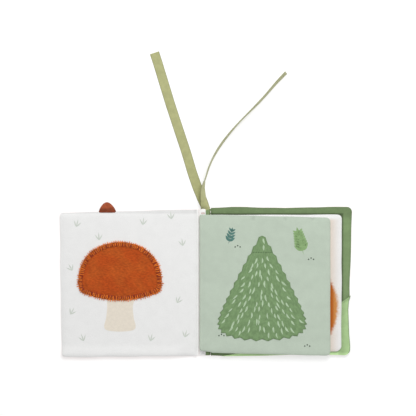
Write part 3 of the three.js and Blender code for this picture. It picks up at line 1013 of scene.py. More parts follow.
def ribbon_tail(name, route, lift, finish):
    """A flat ribbon along its route, which gives x, y and the lean of its width from upright."""
    wide = sizes().ribbon_width / MM
    thick = sizes().ribbon_thickness / MM
    knots = np.array(route, float)
    knots[:, 1] += ROOT_END
    path = smooth_path(knots[:, :2], 1.6)
    run = run_of(path)
    knot_run = [run[np.argmin(np.hypot(*(path - knot[:2]).T))] for knot in knots]
    lean = np.radians(np.interp(run, knot_run, knots[:, 2]))
    ahead = ways_of(path)
    right = np.column_stack([ahead[:, 1], -ahead[:, 0]])
    square = np.exp(-run / 4.0)[:, None]
    side = right * (1 - square) + np.array([1.0, 0.0]) * square
    side /= (side * right).sum(1)[:, None]
    across = np.column_stack([side * np.sin(lean)[:, None], -np.cos(lean)]) * wide / 2
    level = wide / 2 * np.cos(lean) + thick / 2 + 0.03 + lift(run)
    middle = np.column_stack([path, level])
    sections, flat, seam = ribbon_layer(middle - across, middle + across, run)
    tail = band(name, sections, [finish], flat, seam)
    marks = along(middle, run[-1] / 30)
    return tail, [tuple(mark * MM) for mark in marks], run[-1]


# Operators

class Sew:
    """What every step of the sewing has in common"""
    bl_options = {"REGISTER", "UNDO"}


class BOOK_OT_camera(Sew, bpy.types.Operator):
    """Sets a long lens straight above the open book"""
    bl_idname = "book.camera"
    bl_label = "Camera"

    def execute(self, context):
        data = bpy.data.cameras.new("overhead_camera")
        # In metres: the lens above the table, the width it sees at the level of the cloth, that
        # level, and the middle of the picture
        high, seen, cloth_level, middle = 3.0, 0.4368, 0.004, (0.0025, 0.0778)
        data.sensor_width = 36
        data.lens = data.sensor_width * (high - cloth_level) / seen
        camera = bpy.data.objects.new("overhead_camera", data)
        camera.location = (*middle, high)
        context.scene.collection.objects.link(camera)
        context.scene.camera = camera
        return {"FINISHED"}


class BOOK_OT_ties(Sew, bpy.types.Operator):
    """Lays the two ribbon ties, one flat and one on its edge"""
    bl_idname = "book.ties"
    bl_label = "Ribbon ties"

    def execute(self, context):
        finish = grosgrain("olive_ribbon", shades().ribbon)
        for name, node, route, lift in (
                ("ribbon_left_band", "ribbon_left_tail", [(x, y, 90) for x, y in LEFT_ROUTE],
                 lambda run: 0 * run),
                ("ribbon_right_band", "ribbon_right_tail", RIGHT_ROUTE,
                 lambda run: 0.5 * np.exp(-run / 8.0))):
            tail, path, run = ribbon_tail(name, route, lift, finish)
            # A tail bends over its first centimetres, so that it lifts without a kink
            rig.blend(tail, "back_cover", "ties", start=(0, 0.0866, 0.0005), end=(0, 0.108, 0.0005))
            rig.replaces(tail, node)
            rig.slot(tail, "ribbon_olive")
            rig.cord(tail, exit=path[0], length=run * MM, diameter=sizes().ribbon_width,
                    far_end="bare", stiffness="limp", lay="loose", path=path)
        return {"FINISHED"}


class BOOK_OT_covers(Sew, bpy.types.Operator):
    """Fills the two padded covers"""
    bl_idname = "book.covers"
    bl_label = "Covers"

    def execute(self, context):
        outer = cotton("cover_cotton", shades().cover, mottle=0.035, blotch=14.0)
        cotton("page_cotton", shades().page, mottle=0.012, edge_shade=0.93, edge_width=1.6)
        white = cotton("front_cotton", shades().page, mottle=0.012, edge_shade=0.97, edge_width=1.2,
                       dye=self.rimmed)
        green = cotton("lining_cotton", shades().lining, mottle=0.06, edge_shade=0.84, edge_width=3.0,
                       dye=self.pressed)
        wander = sizes().edge_wander / MM
        for body, lining, slot, seed, near, loosen in (
                ("front_cover", white, "lining_white", FRONT_SEED, lambda x, y: x > -9.6, self.fuller),
                ("back_cover", green, "lining_green", BACK_SEED, lambda x, y: x < 6.1, self.slacker)):
            outline = squared(node_outline(body + "_lining"), near_left=seed == BACK_SEED, reach_in=6.0)
            outline = loosen(wandering(spaced(outline, 1.5), wander, 26, seed, keep=near))
            pad = panel(body + "_pad", outline, cover_over(seed), cover_under, [lining, outer],
                        hem_cloths(near), rings=(0.3, 0.8, 1.5, 2.4, 3.6, 5.2))
            attach(pad, body, slot, body + "_outer", body + "_wadding", body + "_lining")
            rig.padded(pad, fill=0.4)
        return {"FINISHED"}

    def fuller(self, outline):
        """The front cover's fore edge a little outside its straight line."""
        outline[:, 0] -= 0.8 * np.clip((-outline[:, 0] - 130) / 15, 0, 1)
        return outline

    def slacker(self, outline):
        """The back cover's slack edges and rounded fore corners."""
        outline = rounder(slack(outline), end=-1, radius=7.0)
        return rounder(outline, end=1, radius=5.5)

    def rimmed(self, cloth, where):
        """A darker line along the head seam, paler cloth along the tail and the fore edge."""
        x, y = cloth.axes(where)
        tail = cloth.fade(y, -78.5, -76.0, 1.05, 1.0)
        fore = cloth.fade(x, -152.5, -149.0, 1.07, 1.0)
        light = cloth.times(cloth.fade(y, 70.8, 73.2, 1.0, 0.86), cloth.calc("MAXIMUM", tail, fore))
        return cloth.shade(cloth.base, light)

    def pressed(self, cloth, where):
        """Darker at the head, beside leaf 2 and along the pocket's rim, paler at the tail."""
        x, y = cloth.axes(where)
        leaf_2_fore, leaf_2_head = 143.0, 70.8
        past = cloth.calc("MAXIMUM", cloth.calc("SUBTRACT", x, leaf_2_fore),
                          cloth.calc("SUBTRACT", y, leaf_2_head))
        wavering = cloth.calc("ADD", y, cloth.noise(where, 14.0))
        above_pocket = cloth.calc("ADD", cloth.calc("MULTIPLY_ADD", x, -0.77, y),
                                  cloth.fade(x, 139.0, 141.5, 9.0, 0.0))
        return cloth.shade(cloth.base, cloth.times(
            cloth.fade(past, 0.6, 2.4, 0.5, 1.0),
            cloth.fade(wavering, 66.0, 72.0, 1.0, 0.78),
            cloth.fade(y, -74.6, -73.0, 1.6, 1.0),
            cloth.fade(above_pocket, -132.6, -130.2, 0.6, 1.0)))


class BOOK_OT_spine(Sew, bpy.types.Operator):
    """Sews the spine strip, its two grooves and the root of the ribbon"""
    bl_idname = "book.spine"
    bl_label = "Spine"

    def execute(self, context):
        outer = bpy.data.materials["cover_cotton"]
        green = bpy.data.materials["lining_cotton"]
        lining = cotton("spine_cotton", shades().spine_white, mottle=0.02, edge_shade=0.96,
                        edge_width=1.0, dye=self.halves)
        outline = spaced(node_outline("spine_outer"), 1.2)
        # At the head the strip's left corner is tucked in a little
        left_head = (outline[:, 1] > 70) & (outline[:, 0] < -4.4)
        outline[left_head, 1] -= 0.8
        strip = panel("spine_strip", outline, spine_over, settling(0.9, 0.0, 0.8), [lining, outer],
                      two_cloths, rings=(0.35, 1.0), step=1.1)
        attach(strip, "spine", "lining_white",
               "spine_outer", "spine_interfacing", "spine_lining_left", "spine_lining_right")
        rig.padded(strip, fill=0.3)

        white = cotton("groove_cotton", shades().groove_white, mottle=0.02, edge_shade=1.0)
        for name, start, end, first, second, inner in (
                ("groove_cloth_right", 6.4, 3.8, "back_cover", "spine", green),
                ("groove_cloth_left", -7.3, -9.9, "spine", "front_cover", white)):
            self.groove(name, start, end, first, second, inner, outer)
        self.root(bpy.data.materials["olive_ribbon"])
        return {"FINISHED"}

    def halves(self, cloth, where):
        """White on the front cover's side, green on the other, pink at the ribbon's fold."""
        x, y = cloth.axes(where)
        paint = cloth.mix(cloth.fade(x, 0.0, 0.08), cloth.base, (*shades().lining, 1))
        away_x = cloth.calc("ABSOLUTE", cloth.calc("ADD", x, 2.7))
        away_y = cloth.calc("ABSOLUTE", cloth.calc("SUBTRACT", y, 72.3))
        fold = cloth.times(cloth.fade(away_y, 0.5, 1.2, 0.6, 0.0), cloth.fade(away_x, 1.6, 2.4, 1.0, 0.0))
        return cloth.mix(fold, paint, (*shades().cover, 1))

    def groove(self, name, start, end, first, second, inner, outer):
        """A soft valley of cloth from one side of a hinge to the other."""
        middle = (start + end) / 2
        half = (start - end) / 2
        steps = np.linspace(-1, 1, 9)
        # The left groove's cloth lies higher, slopes down to the spine and ends a little sooner
        level, rise, head = (2.1, -0.4, 75.9) if start < 0 else (0.95, 0.0, 76.9)
        rows = along([(-76.6,), (head,)], 3.0)[:, 0]
        sections = []
        for y in rows:
            upper = [(middle + s * half, y, level + rise * s + 0.3 * s * s) for s in steps]
            lower = [(middle + s * half, y, 0.14 + 0.3 * s * s) for s in steps[::-1]]
            sections.append(upper + lower)
        picks = band_picks(len(rows), 2 * len(steps), len(steps) - 1)
        cloth = band(name, sections, [inner, outer], picks=picks)
        gap = 0.55 * half
        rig.blend(cloth, first, second, start=((middle + gap) * MM, 0, 0.0008),
                 end=((middle - gap) * MM, 0, 0.0008))
        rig.slot(cloth, "cover_cloth")
        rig.padded(cloth, fill=0.2)

    def root(self, finish):
        """Both layers of the ribbon's folded middle, from the head seam to the tails."""
        rows = along(ROOT_ROWS, 1.0)
        y = rows[:, 0]
        wide = sizes().ribbon_width / MM
        fall = 0.42 - 0.12 * np.clip((y - 77.6) / 6, 0, 1)
        verts, faces, flat, seam = [], [], [], []
        for layer in (0, 1):
            left, right = rows[:, 1 + 2 * layer], rows[:, 2 + 2 * layer]
            base = fall + 0.4 * layer
            stand = 0 * y
            if layer:
                # The upper layer is narrower in plan where it turns up on its edge
                stand = wide * np.sqrt(np.clip(1 - ((right - left) / wide) ** 2, 0, 1))
                stand *= np.clip((y - 77.2) / 1.2, 0, 1)
            sections, pattern, edge = ribbon_layer(np.column_stack([left, y, base + stand]),
                                                   np.column_stack([right, y, base]), y)
            start = len(verts)
            shell, around = band_parts(sections)
            verts.extend(shell.tolist())
            faces.extend([tuple(start + v for v in face) for face in around])
            flat.extend(pattern)
            seam.extend(edge)
        root = piece("ribbon_root_band", verts, faces, [finish], flat, seam)
        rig.blend(root, "back_cover", "spine", start=(0, ROOT_END * MM, 0.0008), end=(0, 0.0772, 0.0008))
        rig.replaces(root, "ribbon_root")
        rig.slot(root, "ribbon_olive")
        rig.sheet(root, flat=(round(sizes().ribbon_width, 5), 2 * (y[-1] - y[0]) * MM), held="folded",
                 rests_on=["spine_strip"])


class BOOK_OT_seams(Sew, bpy.types.Operator):
    """Sews the rows of thread in the grooves and down the middle of the spine"""
    bl_idname = "book.seams"
    bl_label = "Spine seams"

    def execute(self, context):
        finish = thread("white_cotton_thread", shades().white_thread)
        for name, node, body, level, shift, past in (
                ("spine_stitches_right", "spine_stitching_right", "back_cover", 1.45, 0.05, 1.6),
                ("spine_stitches_left", "spine_stitching_left", "front_cover", 1.6, -0.6, 1.6),
                ("spread_stitches", "spread_stitching", "spine", 1.35, 0.0, -1.4)):
            low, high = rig.box(node)
            x = (low.x + high.x) / 2 / MM + shift
            rows = np.arange(low.y / MM - past, high.y / MM + past, sizes().stitch_pitch / MM)
            row = stitches(name, [(x, y, level) for y in rows], [(0.04, 1)] * len(rows), finish,
                           sizes().stitch_length / MM, sizes().thread_width / MM, high=0.55)
            attach(row, body, "thread_white", node)
        return {"FINISHED"}


class BOOK_OT_pocket(Sew, bpy.types.Operator):
    """Lays the hill-shaped slip pocket and its hem"""
    bl_idname = "book.pocket"
    bl_label = "Pocket"

    def execute(self, context):
        finish = cotton("pocket_cotton", shades().pocket, mottle=0.06, edge_shade=1.12, edge_width=2.4,
                        dye=self.turned_in)
        outline = rounder(slack(spaced(node_outline("hill_pocket"), 1.5)), end=-1, radius=6.5)
        # Its hidden end reaches nearer to the spine than the CAD solid's
        outline[:, 0] -= 7 * np.clip((60 - outline[:, 0]) / 38, 0, 1)
        mouth = self.mouth(outline)

        def over(x, y, distance):
            # The hem of the mouth is a roll, higher where leaf 2 doesn't press on it
            rim = reach(np.column_stack([x, y]), mouth[:-1], mouth[1:])
            high = 0.75 + 0.9 * np.clip((x - 142.5) / 3, 0, 1)
            roll = high * np.exp(-((rim - 1.0) / 0.9) ** 2)
            return 3.45 + roll + 0.05 * rolling(x, y, 12, 41)

        cloth = panel("pocket_cloth", outline, over, level_at(3.06), [finish], one_cloth, step=2.2,
                      rings=(0.35, 1.0, 1.7, 2.6))
        attach(cloth, "back_cover", "pocket_green", "hill_pocket", "pocket_hem")
        cut_to(cloth, outline, "back_cover_pad")
        return {"FINISHED"}

    def turned_in(self, cloth, where):
        """Darker where the mouth turns under and beside leaf 2, paler at the tail."""
        x, y = cloth.axes(where)
        tail = cloth.fade(y, -75.0, -73.0, 1.0, 0.0)
        turned = cloth.calc("MAXIMUM", tail, cloth.fade(cloth.seam_distance(), 0.4, 1.1, 0.5, 1.0))
        beside = cloth.calc("MAXIMUM", cloth.fade(x, 143.2, 148.0, 0.82, 1.0),
                            cloth.fade(x, 139.0, 141.5, 1.0, 0.0))
        light = cloth.times(turned, cloth.calc("MULTIPLY_ADD", tail, 0.2, beside))
        return cloth.shade(cloth.base, light)

    def mouth(self, outline):
        """The open edge of the pocket, from the fore edge to its lower end near the spine."""
        first, last = np.argmax(outline[:, 1]), np.argmin(outline[:, 0])
        count = (last - first) % len(outline)
        return outline[np.arange(first, first + count + 1) % len(outline)]


class BOOK_OT_leaves(Sew, bpy.types.Operator):
    """Fills the two crackling leaves of the spread"""
    bl_idname = "book.leaves"
    bl_label = "Leaves"

    def execute(self, context):
        sage = cotton("sage_cotton", shades().sage, mottle=0.02, edge_shade=0.93, edge_width=2.5,
                      dye=self.gathers)
        white = bpy.data.materials["page_cotton"]
        printed = cotton("leaf_2_cotton", shades().page, mottle=0.012, edge_shade=0.93,
                         edge_width=1.6, dye=self.sun)
        for number, middle, seed, finish in ((1, LEAF_1_MIDDLE, LEAF_1_SEED, sage),
                                             (2, LEAF_2_MIDDLE, LEAF_2_SEED, printed)):
            leaf = f"leaf_{number}"
            outline = squared(node_outline(leaf + "_front_fabric"), near_left=True, reach_in=8.0)
            outline[outline[:, 0] < 9, 0] = PAGE_START
            if number == 2:
                # Its fore edge stands out a little and is rounder at the tail
                outline[:, 0] += 0.8 * np.clip((outline[:, 0] - 130) / 8, 0, 1)
                outline = rounder(outline, end=-1, radius=7.5)
            outline = spaced(outline, 1.5)
            outline = wandering(outline, 0.25, 24, seed, keep=lambda x, y: x < 18)
            page = panel(leaf + "_page", outline, leaf_over(middle, seed), leaf_under(middle, seed),
                         [finish, white], two_cloths, rings=(0.35, 0.9, 1.8, 3.0, 4.6),
                         open_side=lambda x, y: x < PAGE_START + 0.1)
            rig.blend(page, leaf, "back_cover", start=(PAGE_FREE * MM, 0, middle * MM),
                     end=(PAGE_START * MM, 0, middle * MM))
            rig.replaces(page, leaf + "_back_fabric", leaf + "_crinkle_film", leaf + "_front_fabric")
            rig.slot(page, "leaf_sage" if number == 1 else "leaf_white")
            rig.padded(page, fill=0.3)
        return {"FINISHED"}

    def gathers(self, cloth, where):
        """Darker dimples where the head seam gathers the cloth, and a paler crest at the fold."""
        light = cloth.fade(cloth.noise(cloth.brushed(where, 4.0, 0.35), 22.0), 0.35, 0.65, 0.975, 1.015)
        for across in HEAD_PUCKERS:
            away = cloth.add("VectorMath", where, (across, 66.4, 0), operation="DISTANCE", out=1)
            light = cloth.times(light, cloth.fade(away, 0.6, 3.2, 0.9, 1.0))
        crest = cloth.fade(cloth.axes(where)[0], -6.0, -1.5, 1.14, 1.0)
        return cloth.shade(cloth.base, cloth.times(light, crest))

    def sun(self, cloth, where):
        """A printed round with a ragged rim, on paper that is warmer beside it."""
        x, y = cloth.axes(where)
        away = cloth.add("VectorMath", where, (85.5, -26.5, 0), operation="DISTANCE", out=1)
        edge = cloth.calc("MULTIPLY_ADD", cloth.noise(where, 3.5, 3.0), 5.0, away)
        warm = cloth.times(cloth.fade(x, 130.0, 143.0, 0.75, 0.0), cloth.fade(y, 64.0, 68.0, 1.0, 0.0))
        halo = cloth.fade(edge, 54.0, 63.0, 0.45, 0.0)
        paper = cloth.mix(cloth.calc("MAXIMUM", warm, halo), cloth.base, (*shades().warm_paper, 1))
        print_paint = cloth.mix(cloth.fade(x, 132.2, 136.2), (*shades().orange_ink, 1),
                                (*shades().thin_orange, 1))
        return cloth.mix(cloth.fade(edge, 53.5, 58.0, 1.0, 0.0), paper, print_paint)


class BOOK_OT_gutters(Sew, bpy.types.Operator):
    """Folds the two leaves down to the spine"""
    bl_idname = "book.gutters"
    bl_label = "Gutter folds"

    def execute(self, context):
        sage = bpy.data.materials["sage_cotton"]
        white = bpy.data.materials["page_cotton"]
        # Each fold's route runs from its leaf down to the spine: x and height; its edges at the
        # tail and the head are given as x and y
        wide_fold = [(6.4, 7.1), (2.5, 7.1), (0.0, 7.0), (-2.4, 6.6), (-4.1, 5.95), (-5.15, 5.1),
                     (-5.5, 4.2), (-5.2, 3.5), (-4.2, 3.1), (-2.9, 2.7), (-1.9, 2.2), (-1.7, 1.55)]
        small_fold = [(6.4, 4.8), (5.0, 4.8), (3.6, 4.75), (2.4, 4.3), (1.8, 3.4), (1.7, 2.4),
                      (1.7, 1.6)]
        tail = ((-6.6, -71.0), (-6.2, -71.6), (-5.6, -71.9), (-3, -72.3), (2.5, -73.0), (6.4, -73.7))
        head = ((-6.6, 70.5), (-6.2, 70.8), (0, 70.8), (6.4, 70.7))
        for name, node, route, thick, finish, low, high in (
                ("leaf_1_gutter", "leaf_1_fold", wide_fold, 1.0, sage, tail, head),
                ("leaf_2_gutter", "leaf_2_fold", small_fold, 0.95, white,
                 ((0, -72.6), (6.4, -73.3)), ((0, 70.4), (6.4, 70.7)))):
            fold = self.fold(name, route, thick, low, high, finish, white)
            attach(fold, "back_cover", "leaf_sage" if finish is sage else "leaf_white", node)
            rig.squash(fold, "book_close", axis=(1, 0, 0), anchor=(PAGE_START * MM, 0, 0.0048), keep=0.03)
            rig.padded(fold, fill=0.25)
        return {"FINISHED"}

    def fold(self, name, route, thick, tail, head, finish, lining):
        """Padded cloth along a route of x and height, between its edges at tail and head."""
        path = smooth_path(route, 0.7)
        run, ahead = run_of(path), ways_of(path)
        out = np.column_stack([ahead[:, 1], -ahead[:, 0]])
        slim = thick * (1 - 0.45 * np.clip((run - run[-1] + 3) / 3, 0, 1))
        ring = np.vstack([path + out * slim[:, None], (path - out * slim[:, None])[::-1]])
        middle = np.vstack([path, path[::-1]])
        ends = np.array([0, 0.25, 0.6, 1.1, 1.8, 2.8]) / (head[-1][1] - tail[-1][1])
        steps = np.concatenate([ends, np.linspace(0, 1, 72)[2:-2], 1 - ends[::-1]])
        sections, flat, seam = [], [], []
        runs = np.concatenate([run, run[::-1]])
        low = np.interp(ring[:, 0], *np.array(tail).T)
        high = np.interp(ring[:, 0], *np.array(head).T)
        for t in steps:
            y = low + (high - low) * t
            edge = np.minimum(y - low, high - y)
            pinch = 1 - 0.75 * np.exp(-edge / 0.7)
            level = middle + (ring - middle) * pinch[:, None]
            level[:, 1] += 0.1 * rolling(ring[:, 0], y, 13, 51) * np.exp(-runs / 14)
            sections.append(np.column_stack([level[:, 0], y, level[:, 1]]))
            flat.extend(np.column_stack([PAGE_START - runs, y]))
            seam.extend(edge)
        picks = band_picks(len(steps), len(ring), len(ring) // 2)
        return band(name, sections, [finish, lining], flat, seam, picks)


class BOOK_OT_flap(Sew, bpy.types.Operator):
    """Cuts the leaf-shaped flap, its sewn tip and the seam between them"""
    bl_idname = "book.flap"
    bl_label = "Flap"

    def execute(self, context):
        front = cotton("flap_cotton", shades().flap, mottle=0.05, edge_shade=0.78, edge_width=1.6,
                       blotch=5.0, dye=self.fanned)
        back = bpy.data.materials["page_cotton"]
        self.blade_piece(front, back)
        self.tip_piece(front)
        self.seam()
        self.strokes()
        return {"FINISHED"}

    def fanned(self, cloth, where):
        """Darker and paler streaks that spread from the tip, as the printed strokes do."""
        x, y = cloth.axes(where)
        across = cloth.calc("SUBTRACT", x, FLAP_MIDDLE_X)
        down = cloth.calc("SUBTRACT", 58.0, y)
        lean = cloth.calc("MULTIPLY", cloth.calc("ARCTAN2", across, down), 42.0)
        spread = cloth.add("CombineXYZ", lean, cloth.calc("MULTIPLY", down, 0.3), 0.0)
        return cloth.shade(cloth.base, cloth.fade(cloth.noise(spread, 1.3), 0.36, 0.64, 0.87, 1.07))

    def blade_piece(self, front, back):
        """The part that lifts, from its hinge downward."""
        outline = node_outline("flap_front")
        top = outline[:, 1].max()
        outline[outline[:, 1] > top - 0.1, 1] = FLAP_HINGE_Y + 0.4
        outline = spaced(outline, 1.2)
        flap = panel("flap_blade", outline, flap_over, level_at(8.34), [front, back], two_cloths,
                     step=2.0, rings=(0.3, 0.8, 1.6, 2.8), open_side=lambda x, y: y > FLAP_HINGE_Y)
        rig.blend(flap, "flap", "leaf_1", start=(0.0592, 0.0297, 0.0089), end=(0.0592, 0.0309, 0.0089))
        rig.replaces(flap, "flap_front", "flap_back")
        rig.slot(flap, "flap_green")
        cut_to(flap, outline, "leaf_1_page")

    def tip_piece(self, front):
        """The part above the hinge, which is sewn down."""
        outline = node_outline("flap_sewn_tip")
        outline[outline[:, 1] < FLAP_HINGE_Y + 0.1, 1] = FLAP_HINGE_Y - 0.2
        outline = spaced(outline, 1.0)
        tip = panel("flap_tip", outline, flap_over, level_at(7.95), [front], one_cloth, step=1.6,
                    rings=(0.3, 0.8, 1.6), open_side=lambda x, y: y < FLAP_HINGE_Y)
        attach(tip, "leaf_1", "flap_green", "flap_sewn_tip")
        cut_to(tip, outline, "leaf_1_page")

    def seam(self):
        """The short row of thread across the flap near its tip."""
        finish = thread("green_cotton_thread", shades().green_thread)
        low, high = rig.box("flap_stitching")
        marks = np.arange(low.x / MM + 1.2, high.x / MM, 2.6)
        y = np.full(len(marks), (low.y + high.y) / 2 / MM)
        level = surface(flap_over, 5.0)(marks, y) + 0.05
        row = stitches("flap_seam_stitches", list(zip(marks, y, level)), [(1, 0)] * len(marks),
                       finish, longs=2.0, wide=0.6, high=0.4)
        attach(row, "leaf_1", "thread_green", "flap_stitching")

    def strokes(self):
        """Pale curved strokes in staggered rows that fan out from the leaf's tip."""
        finish = ink("pale_flap_ink", shades().pale_ink)
        for name, node, body in (("flap_print", "flap_front", "flap"),
                                 ("tip_print", "flap_sewn_tip", "leaf_1")):
            outline = node_outline(node)
            ahead = np.roll(outline, -1, 0)
            rng = random.Random(7)
            shapes = []
            for y in np.arange(46.5, -58.0, -sizes().stroke_rows / MM):
                wide = max(4.0, (50.8 - y) * 0.44)
                count = max(2, round(2 * wide / (sizes().stroke_rows / MM * 1.1)))
                for place in range(count):
                    share = (2 * place + 1 + rng.uniform(-0.7, 0.7)) / count - 1
                    spot = (FLAP_MIDDLE_X + share * wide + rng.uniform(-1.2, 1.2),
                            y + rng.uniform(-1.8, 1.8))
                    heading = -90 + 48 * share + rng.uniform(-9, 9)
                    bow = 0.9 * (1 if share < 0 else -1) * rng.uniform(0.2, 1)
                    shape = blade(*spot, rng.uniform(5.5, 8.2), rng.uniform(1.5, 2.0), heading, bow)
                    clear = reach(shape, outline, ahead).min() > 1.1
                    if clear and inside(shape, outline).all():
                        shapes.append(shape)
            attach(prints(name, shapes, flap_surface, finish), body, "flap_green")


class BOOK_OT_fleece(Sew, bpy.types.Operator):
    """Cuts the fleece patch, its shaggy rim and its zigzag seam"""
    bl_idname = "book.fleece"
    bl_label = "Fleece patch"

    def execute(self, context):
        finish = nap("rust_fleece", shades().fleece, rim=0.62)
        outline = spaced(node_outline("fleece_patch"), 1.0)
        ragged = wandering(outline, amount=0.5, wavelength=2.5, seed=71)
        patch = panel("fleece_pile", ragged, fleece_over, level_at(2.7), [finish], one_cloth,
                      rings=(0.4, 1.0, 1.7, 2.5, 3.3), step=0.85, crease=0)
        attach(patch, "front_cover", "fleece_rust", "fleece_patch")
        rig.padded(patch, fill=0.3)
        self.rim(outline)
        self.zigzag(outline)
        return {"FINISHED"}

    def rim(self, outline):
        """Tufts of pile along the cut edge: long ones, then a lower fringe of short ones."""
        rng = random.Random(11)
        finish = nap("rust_tufts", shades().fleece_tuft)
        long = sizes().tuft_length / MM
        spots, ways, longs = [], [], []
        for inset, share, level in ((2.5, 1.0, 4.2), (-0.1, 0.6, 3.75)):
            points = spaced(outline, sizes().tuft_pitch / MM)
            if share < 1:
                points = (points + np.roll(points, 1, 0)) / 2
            for spot, way in zip(points, -normals_of(points)):
                turn = math.radians(rng.uniform(-14, 14))
                way = np.array([way[0] * math.cos(turn) - way[1] * math.sin(turn),
                                way[0] * math.sin(turn) + way[1] * math.cos(turn)])
                spots.append((*(spot - way * (inset - rng.uniform(-0.6, 0.6))),
                              level + rng.uniform(-0.12, 0.12)))
                ways.append(way)
                longs.append(long * share * rng.uniform(0.7, 1.25))
        tufts = stitches("fleece_tufts", spots, ways, finish, longs, wide=1.0, high=0.7)
        attach(tufts, "front_cover", "fleece_rust")

    def zigzag(self, outline):
        """One dark stitch between every two tufts, leaning to and fro."""
        finish = thread("rust_cotton_thread", shades().rust_thread)
        points = spaced(outline, sizes().tuft_pitch / MM)
        points = (points + np.roll(points, 1, 0)) / 2
        side = normals_of(points)
        run = np.roll(points, -1, 0) - points
        run /= np.linalg.norm(run, axis=1)[:, None]
        from_edge, level, long = 3.1, 4.25, 3.7
        rng = random.Random(13)
        centres, headings, longs = [], [], []
        for index, spot in enumerate(points + side * from_edge):
            centres.append((*(spot + side[index] * rng.uniform(-0.5, 0.5)), level))
            longs.append(long * rng.uniform(0.75, 1.1))
            headings.append(tuple(side[index] + run[index] * (0.22 if index % 2 else -0.22)))
        row = stitches("fleece_zigzag", centres, headings, finish, longs, wide=1.0, high=0.55)
        attach(row, "front_cover", "thread_rust", "fleece_stitching")


class BOOK_OT_tab(Sew, bpy.types.Operator):
    """Makes the small domed tab at the head of the front cover"""
    bl_idname = "book.tab"
    bl_label = "Tab"

    def execute(self, context):
        finish = cotton("tab_cotton", shades().tab, mottle=0.16, edge_shade=0.85, edge_width=1.2,
                        blotch=3.5, dye=self.shaded)
        outline = node_outline("rust_tab")
        base = outline[:, 1].min()
        outline[outline[:, 1] < base + 0.1, 1] = base - 1.6
        outline = spaced(outline, 0.8)
        # It leans to the left and narrows toward its top
        rise = np.clip((outline[:, 1] - base) / (outline[:, 1].max() - base), 0, 1)
        middle = outline[:, 0].mean()
        outline[:, 0] = middle - 0.5 * rise + (outline[:, 0] - middle) * (1.02 - 0.3 * rise)
        tab = panel("tab_dome", outline, tab_over, settling(1.4, 1.05, 1.0), [finish], one_cloth,
                    rings=(0.3, 0.8, 1.5), step=1.0, open_side=lambda x, y: y < base - 1.4)
        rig.blend(tab, "front_cover", "tab", start=(-0.1032, 0.0743, 0.0015),
                 end=(-0.1032, 0.0762, 0.0015))
        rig.replaces(tab, "rust_tab")
        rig.slot(tab, "tab_rust")
        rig.padded(tab, fill=0.3)
        return {"FINISHED"}

    def shaded(self, cloth, where):
        """Rust that is darker where the tab goes into the seam."""
        return cloth.shade(cloth.base, cloth.fade(cloth.axes(where)[1], 75.5, 79.5, 0.62, 1.08))


class BOOK_OT_prints(Sew, bpy.types.Operator):
    """Prints the small motifs on the two open pages"""
    bl_idname = "book.prints"
    bl_label = "Printed motifs"

    def execute(self, context):
        cream = ink("cream_ink", shades().cream_ink, mottle=0.03)
        stem = [(-104, -14), (-103.4, -26), (-104.6, -38), (-106.5, -46), (-104, -50.5), (-90, -52),
                (-76, -50.5), (-73.5, -46), (-75.4, -38), (-76.6, -26), (-76, -14)]
        stem = spaced(smooth_path(stem + [stem[0]], 1.5)[:-1], 2.0)
        attach(prints("stem_print", [stem], left_page, cream), "front_cover", "lining_white")
        rng = random.Random(3)
        sprigs = []
        for x, y in ((-136, 58), (-112, 44), (-66, 60), (-36, 66), (-24, 38), (-30, -22),
                     (-142, -34), (-128, -62), (-58, -62), (-22, -58), (-140, 12)):
            turn = rng.uniform(60, 120)
            for lean in (-34, 0, 34):
                sprigs.append(blade(x, y, 8.4 - abs(lean) / 30, 1.3, turn + lean))
        grey = ink("grey_ink", shades().grey_ink, mottle=0.05)
        attach(prints("sprig_print", sprigs, left_page, grey), "front_cover", "lining_white")
        self.sage_motifs()
        return {"FINISHED"}

    def sage_motifs(self):
        """Two small fronds and four groups of three dots."""
        groups = (
            ("teal_leaf_print", "teal_ink", shades().teal_ink, frond(24, 40, 17, 7.5, 76)),
            ("green_leaf_print", "leaf_ink", shades().leaf_ink, frond(103, 28, 29, 11, 104)),
            ("dot_print", "dark_ink", shades().dark_ink,
             [dot(x + 2.6 * k, y + 1.3 * (k % 2), 0.75) for x, y in
              ((31, 37), (108, 24), (14, -56), (104, -67)) for k in range(3)]))
        for name, finish, base, shapes in groups:
            attach(prints(name, shapes, sage_page, ink(finish, base)), "leaf_1", "leaf_sage")


# Strength of the white world and of the floor's own light
GLOW = 0.485


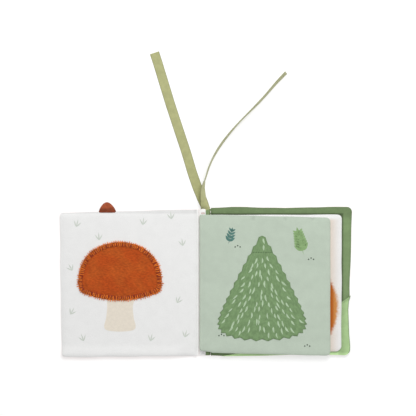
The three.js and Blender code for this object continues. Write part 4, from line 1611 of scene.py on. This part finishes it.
class BOOK_OT_studio(Sew, bpy.types.Operator):
    """Lays the white floor and sets the soft light"""
    bl_idname = "book.studio"
    bl_label = "Studio"

    def execute(self, context):
        far, below = 3000, -0.05
        corners = [(x * far, y * far, below) for x, y in ((-1, -1), (1, -1), (1, 1), (-1, 1))]
        floor = piece("floor", corners, [(0, 1, 2, 3)], [self.paper()], crease=0)
        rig.stage(floor)
        scene = context.scene
        scene.view_settings.view_transform = "Standard"
        scene.view_settings.look = "None"
        world = bpy.data.worlds.new("studio_world")
        world.use_nodes = True
        sky = world.node_tree.nodes["Background"].inputs
        sky["Color"].default_value = (1, 1, 1, 1)
        sky["Strength"].default_value = GLOW
        scene.world = world
        for name, place, size, power in (("head_light", (0.25, 0.8, 1.0), 0.7, 9.0),
                                         ("top_light", (0.0, 0.1, 2.0), 1.6, 6.0)):
            data = bpy.data.lights.new(name, "AREA")
            data.energy, data.size = power, size
            lamp = bpy.data.objects.new(name, data)
            lamp.location = place
            lamp.visible_camera = False
            lamp.rotation_euler = (-Vector(place)).to_track_quat("-Z", "Y").to_euler()
            scene.collection.objects.link(lamp)
        return {"FINISHED"}

    def paper(self):
        """White paper that glows a little, so that only the soft shadows are grey."""
        sheet = Dye("white_floor", (0.6, 0.6, 0.6), roughness=0.9, sheen=0.0)
        where = sheet.flat()
        light = sheet.fade(sheet.noise(where, 40.0), 0.3, 0.7, 0.995, 1.0)
        sheet.shader.inputs["Emission Color"].default_value = (1, 1, 1, 1)
        sheet.shader.inputs["Emission Strength"].default_value = GLOW
        return sheet.finish(sheet.shade(sheet.base, light), sheet.noise(where, 2.0), depth=0.01)


class BOOK_PT_panel(bpy.types.Panel):
    """Lists the steps that make the book, and its sizes and colours"""
    bl_idname = "BOOK_PT_panel"
    bl_label = "Cloth book"
    bl_space_type = "VIEW_3D"
    bl_region_type = "UI"
    bl_category = "Cloth book"

    def draw(self, context):
        column = self.layout.column(align=True)
        for step in STEPS:
            column.operator(step.bl_idname)
        for group in (context.scene.book_sizes, context.scene.book_colours):
            box = self.layout.box()
            for name in group.__annotations__:
                box.prop(group, name)


STEPS = (BOOK_OT_camera, BOOK_OT_ties, BOOK_OT_covers, BOOK_OT_spine, BOOK_OT_seams, BOOK_OT_pocket,
         BOOK_OT_leaves, BOOK_OT_gutters, BOOK_OT_flap, BOOK_OT_fleece, BOOK_OT_tab, BOOK_OT_prints,
         BOOK_OT_studio)
CLASSES = (BookSizes, BookColours, *STEPS, BOOK_PT_panel)


def register():
    for kind in CLASSES:
        bpy.utils.register_class(kind)
    bpy.types.Scene.book_sizes = PointerProperty(type=BookSizes)
    bpy.types.Scene.book_colours = PointerProperty(type=BookColours)


def unregister():
    del bpy.types.Scene.book_colours
    del bpy.types.Scene.book_sizes
    for kind in reversed(CLASSES):
        bpy.utils.unregister_class(kind)


def main():
    register()
    for step in STEPS:
        group, name = step.bl_idname.split(".")
        getattr(getattr(bpy.ops, group), name)()
    low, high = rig.bounds()
    with open("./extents.json", "w") as out:
        json.dump({"cad": [list(cad_low), list(cad_high)], "visual": [list(low), list(high)]}, out)


if __name__ == "__main__":
    main()
